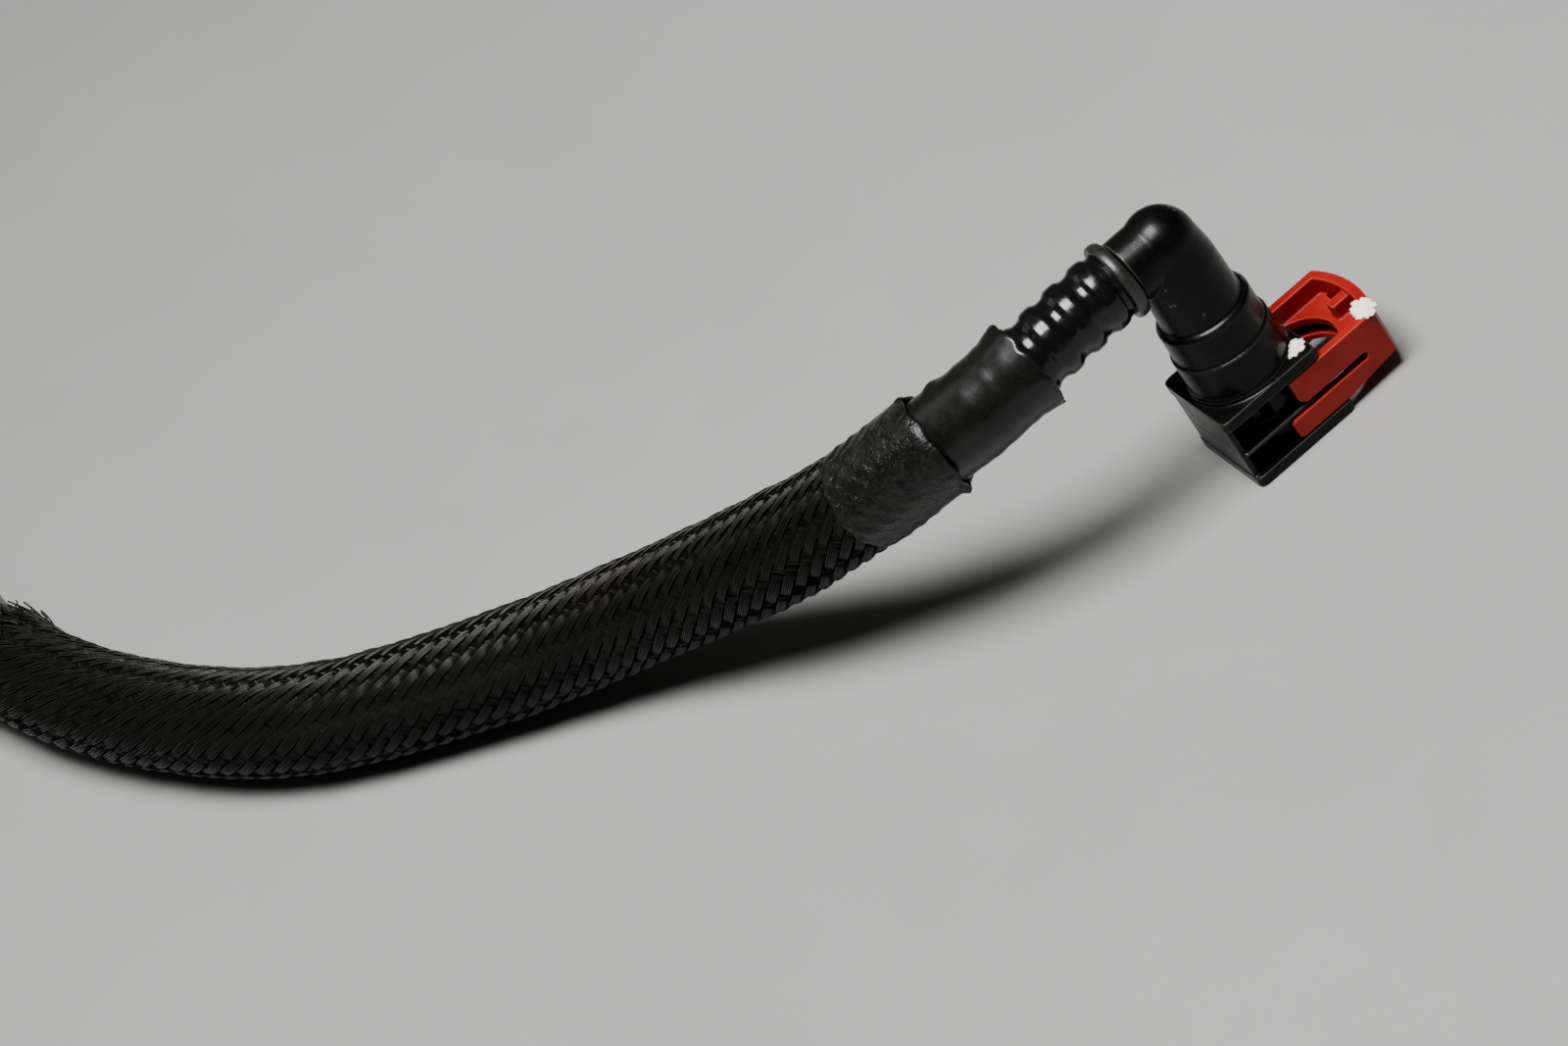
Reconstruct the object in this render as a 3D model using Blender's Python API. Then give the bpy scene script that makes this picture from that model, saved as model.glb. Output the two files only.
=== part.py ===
# Fuel feed hose: two identical elbow quick connectors joined by a corrugated tube, which lies in a
# protector hose and a braided sleeve. Metres, +Z up. The rail connector stands on its mouth, the
# pump connector lies on its side, and everything rests on z = 0.
#
# A connector is modelled in its own axes: Z from the mouth up the pipe socket, X from the hose
# towards the lock slide, Y across. Its origin is the centre of the mouth.

import math

import bmesh
import bpy
import numpy as np
from mathutils import Matrix, Vector

# where the connectors are
RAIL_MOUTH = Vector((0.09865, -0.1207, 0))
PUMP_MOUTH = RAIL_MOUTH + Vector((-0.2199, 0.2284, 0.0096))
PUMP_TURN = Matrix(((0, 0, 1), (1, 0, 0), (0, 1, 0)))  # lying on its side, mouth towards -X

# elbow body
CORNER_Z = 0.0425  # height of the dome's centre and of the hose's axis over the mouth
DOME_R = 0.0062
LEG_R = 0.0071
LEG_Z = 0.0284  # foot of the upper leg
UPPER_BODY_R = 0.0082
UPPER_BODY_Z = 0.0222
LOWER_BODY_R = 0.0087
LIP_R = 0.009
LIP_RISE = 0.0007
STEP_EDGE = 0.0003  # height of the small slopes at the steps
LEG_TAPER = 0.0002
LEG_END_DROP = 0.005  # the leg's straight end, under the dome's centre
JOINT_DEPTH = 0.001  # overlap of shapes that are united
HOUSING_HALF_X = 0.010
HOUSING_HALF_Y = 0.0096
HOUSING_TOP = 0.0146
FLANGE_TOP = 0.002
TOP_PLATE_FOOT = 0.0126
TOP_PLATE_END_X = 0.0095
BACK_WALL_X = -0.0088
WALL_RECESS = 0.0002
CORE_R = 0.0073
RAIL_Z = (0.00625, 0.00695)
RAIL_X = (-0.0094, 0.0055)
RAIL_HALF_Y = 0.0091
CORE_WINDOW_X = (-0.0064, -0.001)
CORE_WINDOW_Z = (0.0078, 0.0118)
CORNER_BEVEL = 0.0011

# socket for the pipe, and the seals in it
MOUTH_CHAMFER = 0.0008
RETAINER_BORE_R = 0.0061
SEAL_BORE_R = 0.006
SEAL_BORE_FOOT = 0.0132
SEAL_SEAT = 0.0245
PIPE_BORE_R = 0.0041
PIPE_SEAT = 0.033
PASSAGE_R = 0.0025
STEM_BORE_R = 0.0022
O_RING_R = 0.0048  # centre line of the ring
O_RING_WIRE_R = 0.00095
SEAL_PIECE_R = (0.00415, 0.0057)
INNER_O_RING_Z = 0.02325
SPACER_Z = (0.01995, 0.022)
OUTER_O_RING_Z = 0.0187
BUSH_Z = (0.0135, 0.01745)
BUSH_BRIM = 0.0012
BUSH_STEP = 0.0005
RETAINER_Z = (0.0032, 0.0131)
RETAINER_R = 0.00575
RETAINER_COLLAR_R = 0.0045
RETAINER_COLLAR_FOOT = 0.0092
RETAINER_WAIST_R = 0.0052
RETAINER_WAIST_Z = (0.0068, 0.0089)
RETAINER_HOOK_R = 0.0043
RETAINER_HOOK_Z = (0.0052, 0.0066)
RETAINER_MOUTH_R = 0.0053
RETAINER_EDGE = 0.0003
RETAINER_GAP_HALF_X = 0.0026
RETAINER_GAP_TOP = 0.0098

# stem that the tube is pushed on, measured from the corner along the hose
NECK_R = 0.0057
NECK_END = 0.0073
STEM_R = 0.0037
STEM_ROOT_R = 0.0033
STEM_END = 0.017
BARB_PITCH = 0.0042
BARBS = 2
BARB_FIRST = 0.0006  # after the neck
BARB_RISE_SHARE = 0.3
BARB_END_SHARE = 0.95
COLLAR_R = (0.0057, 0.0072)
COLLAR_AT = (0.0077, 0.0099)
COLLAR_EDGE = 0.0004

# lock slide, shown pulled out
LOCK_HALF_Y = 0.0095
LOCK_INNER_Y = 0.00765
LOCK_TOP = 0.0123
LOCK_FOOT = 0.0023
LOCK_END_FOOT = 0.0036
UPPER_TIP_X = 0.0027
LOWER_TIP_X = -0.0002
SLIT_Z = (0.00595, 0.00725)
SLIT_END_X = 0.0153
SLOPE_X = 0.0105  # where the underside starts to rise
BOW_END_X = 0.0204
BOW_APEX_X = 0.0226
BOW_THICK = 0.0018
WEB_Z = (0.0075, 0.009)
LOWER_WEB_Z = (0.0042, 0.0054)
WEB_X = 0.0105
WEB_NOTCH_R = 0.00765
WEB_NOTCH_X = 0.0085
RIB_X = 0.0173
RIB_HALF_Y = 0.0011
RIB_TOP = 0.0117
TIP_CHAMFER = 0.0005
LOCK_OVERLAP = 0.0004  # of its shapes where they are united

# hose layers: places are distances along the hose's axis from the rail connector's corner
TUBE_CREST_R = 0.0063
TUBE_VALLEY_R = 0.0054
TUBE_PLAIN_R = 0.0058
TUBE_BORE_R = 0.004
TUBE_END = 0.0076
TUBE_PITCH = 0.005
FIRST_CREST = 0.0128
CRESTS = 5
CREST_TOP_SHARE = 0.6  # half of a crest's flat top, as a share of a quarter of the pitch
CREST_FOOT_SHARE = 1.2
PROTECTOR_R = 0.0075
PROTECTOR_RIM_R = 0.0081
PROTECTOR_BORE_R = 0.0066
PROTECTOR_END = 0.028
RIM_LENGTH = 0.0026
SLEEVE_R = 0.0097
SLEEVE_WALL = 0.0006
SLEEVE_NECK_R = 0.0085  # where the cuff squeezes it
SLEEVE_OPENS = 0.006  # length of the cone behind the cuff
SLEEVE_START = 0.0502
SLEEVE_FREE_END = 0.0490  # from the pump connector's corner
CUFF_AT = (0.048, 0.0662)
CUFF_R = 0.0094
CUFF_LIP_BORE_R = 0.0079
CUFF_LIP_END = 0.0499
CUFF_BORE_R = 0.0088
CUFF_EDGE = 0.0004
HOSE_STEP = 0.0105  # between rings on a plain stretch
MIN_STEP = 0.0012

# the hose's axis, from one corner to the other, over the rail connector's mouth
ROUTE = (
    (0, 0, 0.0425),
    (-0.009, 0, 0.0425),
    (-0.017, 0, 0.0424),
    (-0.025, 0.0004, 0.0416),
    (-0.0368, 0.0037, 0.0386),
    (-0.0453, 0.0089, 0.0353),
    (-0.0588, 0.0192, 0.0291),
    (-0.0712, 0.0314, 0.0233),
    (-0.0817, 0.0433, 0.0187),
    (-0.0953, 0.0577, 0.0142),
    (-0.1085, 0.0695, 0.0115),
    (-0.1204, 0.0792, 0.0106),
    (-0.1312, 0.0883, 0.0102),
    (-0.141, 0.0977, 0.01),
    (-0.1499, 0.1088, 0.01),
    (-0.158, 0.1226, 0.01),
    (-0.1653, 0.1385, 0.01),
    (-0.1707, 0.1534, 0.01),
    (-0.1743, 0.1672, 0.01),
    (-0.1763, 0.181, 0.0099),
    (-0.1771, 0.195, 0.0097),
    (-0.1774, 0.2069, 0.0096),
    (-0.1774, 0.214, 0.0096),
    (-0.1774, 0.2212, 0.0096),
    (-0.1774, 0.2284, 0.0096),
)

ROUND_SIDES = 24
PASSAGE_SIDES = 14
HOSE_SIDES = 12
DOME_STEPS = 5
BOW_STEPS = 8
NOTCH_STEPS = 8
RING_SIDES = 6
SHARP = math.radians(32)
WELD = 2e-6
THROUGH = 0.02  # reach of a cutter that passes right through


def clear_scene():
    for obj in list(bpy.data.objects):
        bpy.data.objects.remove(obj, do_unlink=True)


def material(name, colour, roughness, metallic=0.0):
    made = bpy.data.materials.new(name)
    made.use_nodes = True
    shader = made.node_tree.nodes["Principled BSDF"]
    shader.inputs["Base Color"].default_value = (*colour, 1)
    shader.inputs["Roughness"].default_value = roughness
    shader.inputs["Metallic"].default_value = metallic
    made.diffuse_color = (*colour, 1)
    return made


def finished(bm, name):
    """Turns a bmesh into a closed mesh with its faces pointing out."""
    bmesh.ops.remove_doubles(bm, verts=bm.verts, dist=1e-7)
    bmesh.ops.recalc_face_normals(bm, faces=bm.faces)
    mesh = bpy.data.meshes.new(name)
    bm.to_mesh(mesh)
    bm.free()
    return mesh


def turned(name, profile, axis="Z", sides=ROUND_SIDES):
    """Turns a closed outline of (radius, height) points about Z, or about -X with axis "X"."""
    bm = bmesh.new()
    verts = [bm.verts.new((radius, 0, height)) for radius, height in profile]
    sides_of_outline = zip(verts, verts[1:] + verts[:1])
    edges = [bm.edges.new(pair) for pair in sides_of_outline if pair[0].co.x or pair[1].co.x]
    bmesh.ops.spin(
        bm,
        geom=verts + edges,
        cent=(0, 0, 0),
        axis=(0, 0, 1),
        dvec=(0, 0, 0),
        angle=math.tau,
        steps=sides,
        use_duplicate=False,
    )
    if axis == "X":
        along_hose = Matrix.Translation((0, 0, CORNER_Z)) @ Matrix.Rotation(-math.pi / 2, 4, "Y")
        bmesh.ops.transform(bm, matrix=along_hose, verts=bm.verts)
    return finished(bm, name)


def extruded(name, outline, low, high, plane="XY", bevel=0.0):
    """Extrudes a closed outline across its plane, XY or XZ, with its straight corners bevelled."""
    bm = bmesh.new()
    if plane == "XY":
        verts = [bm.verts.new((x, y, low)) for x, y in outline]
        push = (0, 0, high - low)
    else:
        verts = [bm.verts.new((x, low, z)) for x, z in outline]
        push = (0, high - low, 0)
    face = bm.faces.new(verts)
    pushed = bmesh.ops.extrude_face_region(bm, geom=[face])["geom"]
    moved = [item for item in pushed if isinstance(item, bmesh.types.BMVert)]
    bmesh.ops.translate(bm, vec=push, verts=moved)
    if bevel:
        along = Vector(push).normalized()
        upright = [
            edge
            for edge in bm.edges
            if abs((edge.verts[1].co - edge.verts[0].co).normalized().dot(along)) > 0.99
        ]
        bmesh.ops.bevel(bm, geom=upright, offset=bevel, segments=2, profile=0.5, affect="EDGES")
    return finished(bm, name)


def box(name, x, y, z, bevel=0.0):
    outline = [(x[0], y[0]), (x[1], y[0]), (x[1], y[1]), (x[0], y[1])]
    return extruded(name, outline, z[0], z[1], bevel=bevel)


def combined(name, base, steps):
    """Unites a mesh with others and cuts others from it, and returns the result as one mesh."""
    body = bpy.data.objects.new(name, base)
    bpy.context.scene.collection.objects.link(body)
    helpers = []
    for operation, mesh in steps:
        helper = bpy.data.objects.new("tool", mesh)
        bpy.context.scene.collection.objects.link(helper)
        helpers.append(helper)
        modifier = body.modifiers.new(operation.lower(), "BOOLEAN")
        modifier.operation = operation
        modifier.solver = "EXACT"
        modifier.object = helper
    graph = bpy.context.evaluated_depsgraph_get()
    cut = bpy.data.meshes.new_from_object(body.evaluated_get(graph))
    for obj in (body, *helpers):
        bpy.data.objects.remove(obj, do_unlink=True)
    bm = bmesh.new()
    bm.from_mesh(cut)
    bmesh.ops.remove_doubles(bm, verts=bm.verts, dist=WELD)
    bmesh.ops.dissolve_degenerate(bm, edges=bm.edges, dist=WELD)
    return finished(bm, name)


def elbow_mesh():
    """Housing, seal body, domed corner and barbed stem in one moulding, with its stepped bore."""
    dome = [
        (DOME_R * math.cos(angle), CORNER_Z + DOME_R * math.sin(angle))
        for angle in np.linspace(0, math.pi / 2, DOME_STEPS)[:-1]
    ]
    shell = [
        (0, HOUSING_TOP - JOINT_DEPTH),
        (LOWER_BODY_R, HOUSING_TOP - JOINT_DEPTH),
        (LOWER_BODY_R, HOUSING_TOP),
        (LIP_R, HOUSING_TOP + STEP_EDGE / 2),
        (LIP_R, HOUSING_TOP + LIP_RISE),
        (LOWER_BODY_R, HOUSING_TOP + LIP_RISE + STEP_EDGE),
        (LOWER_BODY_R, UPPER_BODY_Z - STEP_EDGE),
        (UPPER_BODY_R, UPPER_BODY_Z),
        (UPPER_BODY_R, LEG_Z - STEP_EDGE),
        (UPPER_BODY_R - STEP_EDGE, LEG_Z),
        (LEG_R, LEG_Z + STEP_EDGE),
        (LEG_R - LEG_TAPER, CORNER_Z - LEG_END_DROP),
        *dome,
        (0, CORNER_Z + DOME_R),
    ]
    neck = [
        (0, 0),
        (NECK_R, 0),
        (NECK_R, NECK_END),
        (STEM_R, NECK_END),
    ]
    for barb in range(BARBS):
        start = NECK_END + BARB_FIRST + barb * BARB_PITCH
        neck += [(STEM_ROOT_R, start), (STEM_R, start + BARB_RISE_SHARE * BARB_PITCH)]
        neck += [(STEM_ROOT_R, start + BARB_END_SHARE * BARB_PITCH)]
    neck += [(STEM_ROOT_R - STEP_EDGE, STEM_END), (0, STEM_END)]

    socket = [
        (0, -MOUTH_CHAMFER),
        (RETAINER_BORE_R + 2 * MOUTH_CHAMFER, -MOUTH_CHAMFER),
        (RETAINER_BORE_R, MOUTH_CHAMFER),
        (RETAINER_BORE_R, SEAL_BORE_FOOT),
        (SEAL_BORE_R, SEAL_BORE_FOOT),
        (SEAL_BORE_R, SEAL_SEAT),
        (PIPE_BORE_R, SEAL_SEAT),
        (PIPE_BORE_R, PIPE_SEAT),
        (PASSAGE_R, PIPE_SEAT + JOINT_DEPTH),
        (PASSAGE_R, CORNER_Z + STEM_BORE_R),
        (0, CORNER_Z + STEM_BORE_R + 2 * STEP_EDGE),
    ]
    passage = [(0, 0), (STEM_BORE_R, 0), (STEM_BORE_R, 2 * STEM_END), (0, 2 * STEM_END)]
    wide = (-HOUSING_HALF_Y, HOUSING_HALF_Y)
    long = (-HOUSING_HALF_X, HOUSING_HALF_X)
    flange = box("flange", long, wide, (0, FLANGE_TOP), CORNER_BEVEL)
    top_plate = box(
        "top_plate",
        (-HOUSING_HALF_X, TOP_PLATE_END_X),
        wide,
        (TOP_PLATE_FOOT, HOUSING_TOP),
        CORNER_BEVEL,
    )
    back_wall = box(
        "back_wall",
        (-HOUSING_HALF_X + WALL_RECESS, BACK_WALL_X),
        (-HOUSING_HALF_Y + CORNER_BEVEL, HOUSING_HALF_Y - CORNER_BEVEL),
        (FLANGE_TOP / 2, HOUSING_TOP - FLANGE_TOP / 2),
    )
    rails = box("rails", RAIL_X, (-RAIL_HALF_Y, RAIL_HALF_Y), RAIL_Z)
    core_low = FLANGE_TOP - JOINT_DEPTH
    core_high = TOP_PLATE_FOOT + JOINT_DEPTH / 2
    core = turned("core", [(0, core_low), (CORE_R, core_low), (CORE_R, core_high), (0, core_high)])
    window = box("window", CORE_WINDOW_X, (-THROUGH, THROUGH), CORE_WINDOW_Z)
    return combined(
        "elbow_body",
        flange,
        [
            ("UNION", core),
            ("UNION", rails),
            ("UNION", back_wall),
            ("UNION", top_plate),
            ("UNION", turned("shell", shell)),
            ("UNION", turned("neck", neck, "X")),
            ("DIFFERENCE", turned("socket", socket)),
            ("DIFFERENCE", turned("passage", passage, "X", PASSAGE_SIDES)),
            ("DIFFERENCE", window),
        ],
    )


def lock_mesh():
    """U-shaped slide: two slit legs, a bowed push bar, and two notched webs between the legs."""
    leg = [
        (UPPER_TIP_X, LOCK_TOP),
        (UPPER_TIP_X, SLIT_Z[1] + 2 * TIP_CHAMFER),
        (UPPER_TIP_X + 2 * TIP_CHAMFER, SLIT_Z[1]),
        (SLIT_END_X, SLIT_Z[1]),
        (SLIT_END_X + TIP_CHAMFER, (SLIT_Z[0] + SLIT_Z[1]) / 2),
        (SLIT_END_X, SLIT_Z[0]),
        (LOWER_TIP_X + TIP_CHAMFER, SLIT_Z[0]),
        (LOWER_TIP_X, SLIT_Z[0] - TIP_CHAMFER),
        (LOWER_TIP_X, LOCK_FOOT + TIP_CHAMFER),
        (LOWER_TIP_X + TIP_CHAMFER, LOCK_FOOT),
        (SLOPE_X, LOCK_FOOT),
        (BOW_END_X - LOCK_OVERLAP, LOCK_END_FOOT),
        (BOW_END_X - LOCK_OVERLAP, LOCK_TOP),
    ]
    rise = BOW_APEX_X - BOW_END_X
    bow_r = (LOCK_HALF_Y**2 + rise**2) / (2 * rise)
    spread = math.asin(LOCK_HALF_Y / bow_r)
    turns = np.linspace(-spread, spread, BOW_STEPS + 1)
    centre_x = BOW_APEX_X - bow_r
    outer = [(centre_x + bow_r * math.cos(t), bow_r * math.sin(t)) for t in turns]
    inner_r = bow_r - BOW_THICK
    inner = [(centre_x + inner_r * math.cos(t), inner_r * math.sin(t)) for t in turns[1:-1]]
    ends = (BOW_END_X - BOW_THICK, LOCK_HALF_Y)
    bow = outer + [ends] + inner[::-1] + [(ends[0], -ends[1])]

    half_notch = math.acos((WEB_X - WEB_NOTCH_X) / WEB_NOTCH_R)
    notch = [
        (WEB_NOTCH_X + WEB_NOTCH_R * math.cos(t), WEB_NOTCH_R * math.sin(t))
        for t in np.linspace(half_notch, -half_notch, NOTCH_STEPS + 1)
    ]
    side = LOCK_INNER_Y + LOCK_OVERLAP
    back = BOW_END_X - BOW_THICK / 2
    web = [(WEB_X, -side), (back, -side), (back, side), (WEB_X, side)]
    rib = box(
        "rib",
        (RIB_X, BOW_APEX_X - BOW_THICK / 2),
        (-RIB_HALF_Y, RIB_HALF_Y),
        (WEB_Z[0] + LOCK_OVERLAP, RIB_TOP),
    )
    return combined(
        "lock_slide",
        extruded("bow", bow, LOCK_END_FOOT, LOCK_TOP),
        [
            ("UNION", extruded("leg", leg, -LOCK_HALF_Y, -LOCK_INNER_Y, "XZ")),
            ("UNION", extruded("leg", leg, LOCK_INNER_Y, LOCK_HALF_Y, "XZ")),
            ("UNION", extruded("web", web + notch, *WEB_Z)),
            ("UNION", extruded("lower_web", web + notch, *LOWER_WEB_Z)),
            ("UNION", rib),
        ],
    )


def ring_mesh(name, height):
    """O-ring."""
    wire = [
        (
            O_RING_R + O_RING_WIRE_R * math.cos(turn),
            height + O_RING_WIRE_R * math.sin(turn),
        )
        for turn in np.arange(RING_SIDES) * math.tau / RING_SIDES
    ]
    return turned(name, wire)


def spacer_mesh():
    inner, outer = SEAL_PIECE_R
    low, high = SPACER_Z
    return turned("seal_spacer", [(inner, low), (outer, low), (outer, high), (inner, high)])


def bush_mesh():
    """Bush with a hat brim at the mouth end."""
    inner, outer = SEAL_PIECE_R
    low, high = BUSH_Z
    brim = low + BUSH_BRIM
    profile = [
        (inner + BUSH_STEP, low),
        (outer, low),
        (outer, brim),
        (outer - BUSH_STEP, brim),
        (outer - BUSH_STEP, high),
        (inner, high),
        (inner, low + BUSH_STEP),
    ]
    return turned("seal_bush", profile)


def retainer_mesh():
    """Ring with two sprung legs that catch behind the bead of the pipe."""
    low, high = RETAINER_Z
    profile = [
        (RETAINER_R - RETAINER_EDGE, low),
        (RETAINER_R, low + RETAINER_EDGE),
        (RETAINER_R, high),
        (RETAINER_COLLAR_R, high),
        (RETAINER_COLLAR_R, RETAINER_COLLAR_FOOT),
        (RETAINER_WAIST_R, RETAINER_WAIST_Z[1]),
        (RETAINER_WAIST_R, RETAINER_WAIST_Z[0]),
        (RETAINER_HOOK_R, RETAINER_HOOK_Z[1]),
        (RETAINER_HOOK_R, RETAINER_HOOK_Z[0]),
        (RETAINER_MOUTH_R, low),
    ]
    gap_x = (-RETAINER_GAP_HALF_X, RETAINER_GAP_HALF_X)
    gap = box("leg_gap", gap_x, (-THROUGH, THROUGH), (0, RETAINER_GAP_TOP))
    return combined("pipe_retainer", turned("retainer", profile), [("DIFFERENCE", gap)])


def collar_mesh():
    """Rounded ring that clamps the tube's end on the stem."""
    inner, outer = COLLAR_R
    start, end = COLLAR_AT
    profile = [
        (inner, start),
        (outer - COLLAR_EDGE, start),
        (outer, start + COLLAR_EDGE),
        (outer, end - COLLAR_EDGE),
        (outer - COLLAR_EDGE, end),
        (inner, end),
    ]
    return turned("tube_collar", profile, "X")


def smooth_route():
    """Closely spaced points on a smooth curve through ROUTE, and their distances along it."""
    points = np.array(ROUTE) + np.array(RAIL_MOUTH)
    chords = np.linalg.norm(np.diff(points, axis=0), axis=1)
    knots = np.concatenate([[0], np.cumsum(chords)])
    slopes = np.gradient(points, knots, axis=0)
    slopes[0] = (points[1] - points[0]) / chords[0]
    slopes[-1] = (points[-1] - points[-2]) / chords[-1]
    curve = []
    for i, chord in enumerate(chords):
        for t in np.linspace(0, 1, 24, endpoint=False):
            curve.append(
                (2 * t**3 - 3 * t**2 + 1) * points[i]
                + (t**3 - 2 * t**2 + t) * chord * slopes[i]
                + (3 * t**2 - 2 * t**3) * points[i + 1]
                + (t**3 - t**2) * chord * slopes[i + 1]
            )
    curve = np.array([*curve, points[-1]])
    steps = np.linalg.norm(np.diff(curve, axis=0), axis=1)
    return curve, np.concatenate([[0], np.cumsum(steps)])


def hose_frames(curve, along, places):
    """Centre and two crosswise directions at each place, without twist."""
    centres = np.stack([np.interp(places, along, curve[:, k]) for k in range(3)], axis=1)
    ahead = np.stack([np.interp(places + 0.0005, along, curve[:, k]) for k in range(3)], axis=1)
    behind = np.stack([np.interp(places - 0.0005, along, curve[:, k]) for k in range(3)], axis=1)
    frames = []
    for centre, direction in zip(centres, ahead - behind):
        tangent = Vector(direction).normalized()
        across = tangent.cross(Vector((0, 0, 1))).normalized()
        frames.append((Vector(centre), across, across.cross(tangent)))
    return frames


def hose_layer(name, profile, route):
    """Sweeps a closed outline of (distance along, radius) points round the hose's axis."""
    curve, along = route
    places = np.array([place for place, radius in profile])
    bm = bmesh.new()
    rings = []
    for (centre, across, up), (place, radius) in zip(hose_frames(curve, along, places), profile):
        turns = np.arange(HOSE_SIDES) * math.tau / HOSE_SIDES
        rings.append(
            [
                bm.verts.new(centre + radius * (math.cos(t) * across + math.sin(t) * up))
                for t in turns
            ]
        )
    for ring, following in zip(rings, rings[1:] + rings[:1]):
        for i in range(HOSE_SIDES):
            j = (i + 1) % HOSE_SIDES
            bm.faces.new((ring[i], ring[j], following[j], following[i]))
    return finished(bm, name)


def plain_run(start, end, radius):
    """Profile points of one radius from start to end, at places that every layer shares."""
    low, high = sorted((start, end))
    first = math.floor(low / HOSE_STEP) + 1
    shared = [step * HOSE_STEP for step in range(first, math.ceil(high / HOSE_STEP))]
    inner = [place for place in shared if low + MIN_STEP < place < high - MIN_STEP]
    places = [low, *inner, high]
    return [(place, radius) for place in (places if start < end else places[::-1])]


def tube_profile(length):
    """Corrugated near both ends, where it is bare, and plain under the protector."""
    quarter = TUBE_PITCH / 4
    crests = [FIRST_CREST + i * TUBE_PITCH for i in range(CRESTS)]
    near = [(TUBE_END, TUBE_VALLEY_R)]
    for crest in crests:
        near += [
            (crest - CREST_FOOT_SHARE * quarter, TUBE_VALLEY_R),
            (crest - CREST_TOP_SHARE * quarter, TUBE_CREST_R),
            (crest + CREST_TOP_SHARE * quarter, TUBE_CREST_R),
            (crest + CREST_FOOT_SHARE * quarter, TUBE_VALLEY_R),
        ]
    far = [(length - place, radius) for place, radius in near[::-1]]
    plain_from = crests[-1] + TUBE_PITCH / 2
    outside = near + plain_run(plain_from, length - plain_from, TUBE_PLAIN_R) + far
    inside = plain_run(length - TUBE_END, TUBE_END, TUBE_BORE_R)
    return outside + inside


def protector_profile(length):
    start, end = PROTECTOR_END, length - PROTECTOR_END
    outside = [(start, PROTECTOR_RIM_R), (start + RIM_LENGTH, PROTECTOR_R)]
    outside += plain_run(start + 2 * RIM_LENGTH, end - 2 * RIM_LENGTH, PROTECTOR_R)
    outside += [(end - RIM_LENGTH, PROTECTOR_R), (end, PROTECTOR_RIM_R)]
    return outside + plain_run(end, start, PROTECTOR_BORE_R)


def sleeve_profile(length):
    """Squeezed by the cuff at the rail end and cut off open at the pump end."""
    end = length - SLEEVE_FREE_END
    squeezed = CUFF_AT[1] - CUFF_EDGE
    open_from = CUFF_AT[1] + SLEEVE_OPENS
    outside = plain_run(SLEEVE_START, squeezed, SLEEVE_NECK_R)
    outside += plain_run(open_from, end, SLEEVE_R)
    inside = [(place, radius - SLEEVE_WALL) for place, radius in outside[::-1]]
    return outside + inside


def cuff_profile():
    start, end = CUFF_AT
    outside = [(start, CUFF_R - CUFF_EDGE)]
    outside += plain_run(start + 2 * CUFF_EDGE, end - 2 * CUFF_EDGE, CUFF_R)
    outside += [(end, CUFF_R - CUFF_EDGE)]
    inside = plain_run(end, CUFF_LIP_END, CUFF_BORE_R)
    return outside + inside + [(CUFF_LIP_END, CUFF_LIP_BORE_R), (start, CUFF_LIP_BORE_R)]


def add_object(name, mesh, paint, parent=None):
    mesh.shade_smooth()
    mesh.set_sharp_from_angle(angle=SHARP)
    if not mesh.materials:
        mesh.materials.append(paint)
    obj = bpy.data.objects.new(name, mesh)
    bpy.context.scene.collection.objects.link(obj)
    obj.parent = parent
    return obj


def connector_empty(name, place, turn):
    empty = bpy.data.objects.new(name, None)
    empty.empty_display_size = 0.02
    bpy.context.scene.collection.objects.link(empty)
    empty.matrix_world = Matrix.Translation(place) @ turn.to_4x4()
    return empty


def add_connectors():
    """Both connectors share their meshes, and each hangs on an empty at its mouth."""
    nylon = material("black_nylon", (0.018, 0.018, 0.017), 0.42)
    parts = (
        ("elbow_body", elbow_mesh(), nylon),
        ("lock_slide", lock_mesh(), material("red_acetal", (0.5, 0.035, 0.025), 0.4)),
        ("pipe_retainer", retainer_mesh(), material("grey_nylon", (0.06, 0.06, 0.06), 0.45)),
        ("seal_bush", bush_mesh(), material("bush_nylon", (0.05, 0.05, 0.052), 0.5)),
        (
            "outer_o_ring",
            ring_mesh("outer_o_ring", OUTER_O_RING_Z),
            material("ring_rubber", (0.012, 0.012, 0.012), 0.55),
        ),
        ("seal_spacer", spacer_mesh(), material("spacer_nylon", (0.3, 0.3, 0.28), 0.5)),
        (
            "inner_o_ring",
            ring_mesh("inner_o_ring", INNER_O_RING_Z),
            material("blue_ring_rubber", (0.02, 0.05, 0.11), 0.55),
        ),
        ("tube_collar", collar_mesh(), material("collar_rubber", (0.015, 0.015, 0.015), 0.5)),
    )
    empties = (
        ("rail", connector_empty("rail_connector", RAIL_MOUTH, Matrix.Identity(3))),
        ("pump", connector_empty("pump_connector", PUMP_MOUTH, PUMP_TURN)),
    )
    for prefix, empty in empties:
        for name, mesh, paint in parts:
            add_object(f"{prefix}_{name}", mesh, paint, empty)


def add_hose():
    route = smooth_route()
    length = float(route[1][-1])
    layers = (
        ("corrugated_tube", tube_profile(length), ((0.012, 0.012, 0.013), 0.18)),
        ("protector_hose", protector_profile(length), ((0.022, 0.022, 0.021), 0.5)),
        ("braided_sleeve", sleeve_profile(length), ((0.025, 0.024, 0.021), 0.45)),
        ("shrink_cuff", cuff_profile(), ((0.03, 0.03, 0.028), 0.55)),
    )
    for name, profile, (colour, roughness) in layers:
        mesh = hose_layer(name, profile, route)
        add_object(name, mesh, material(name, colour, roughness))
    print(f"hose axis from corner to corner: {length * 1000:.1f} mm")


clear_scene()
add_connectors()
add_hose()
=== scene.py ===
import math

import bmesh
import bpy
import numpy as np
from mathutils import Matrix, Vector


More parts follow.
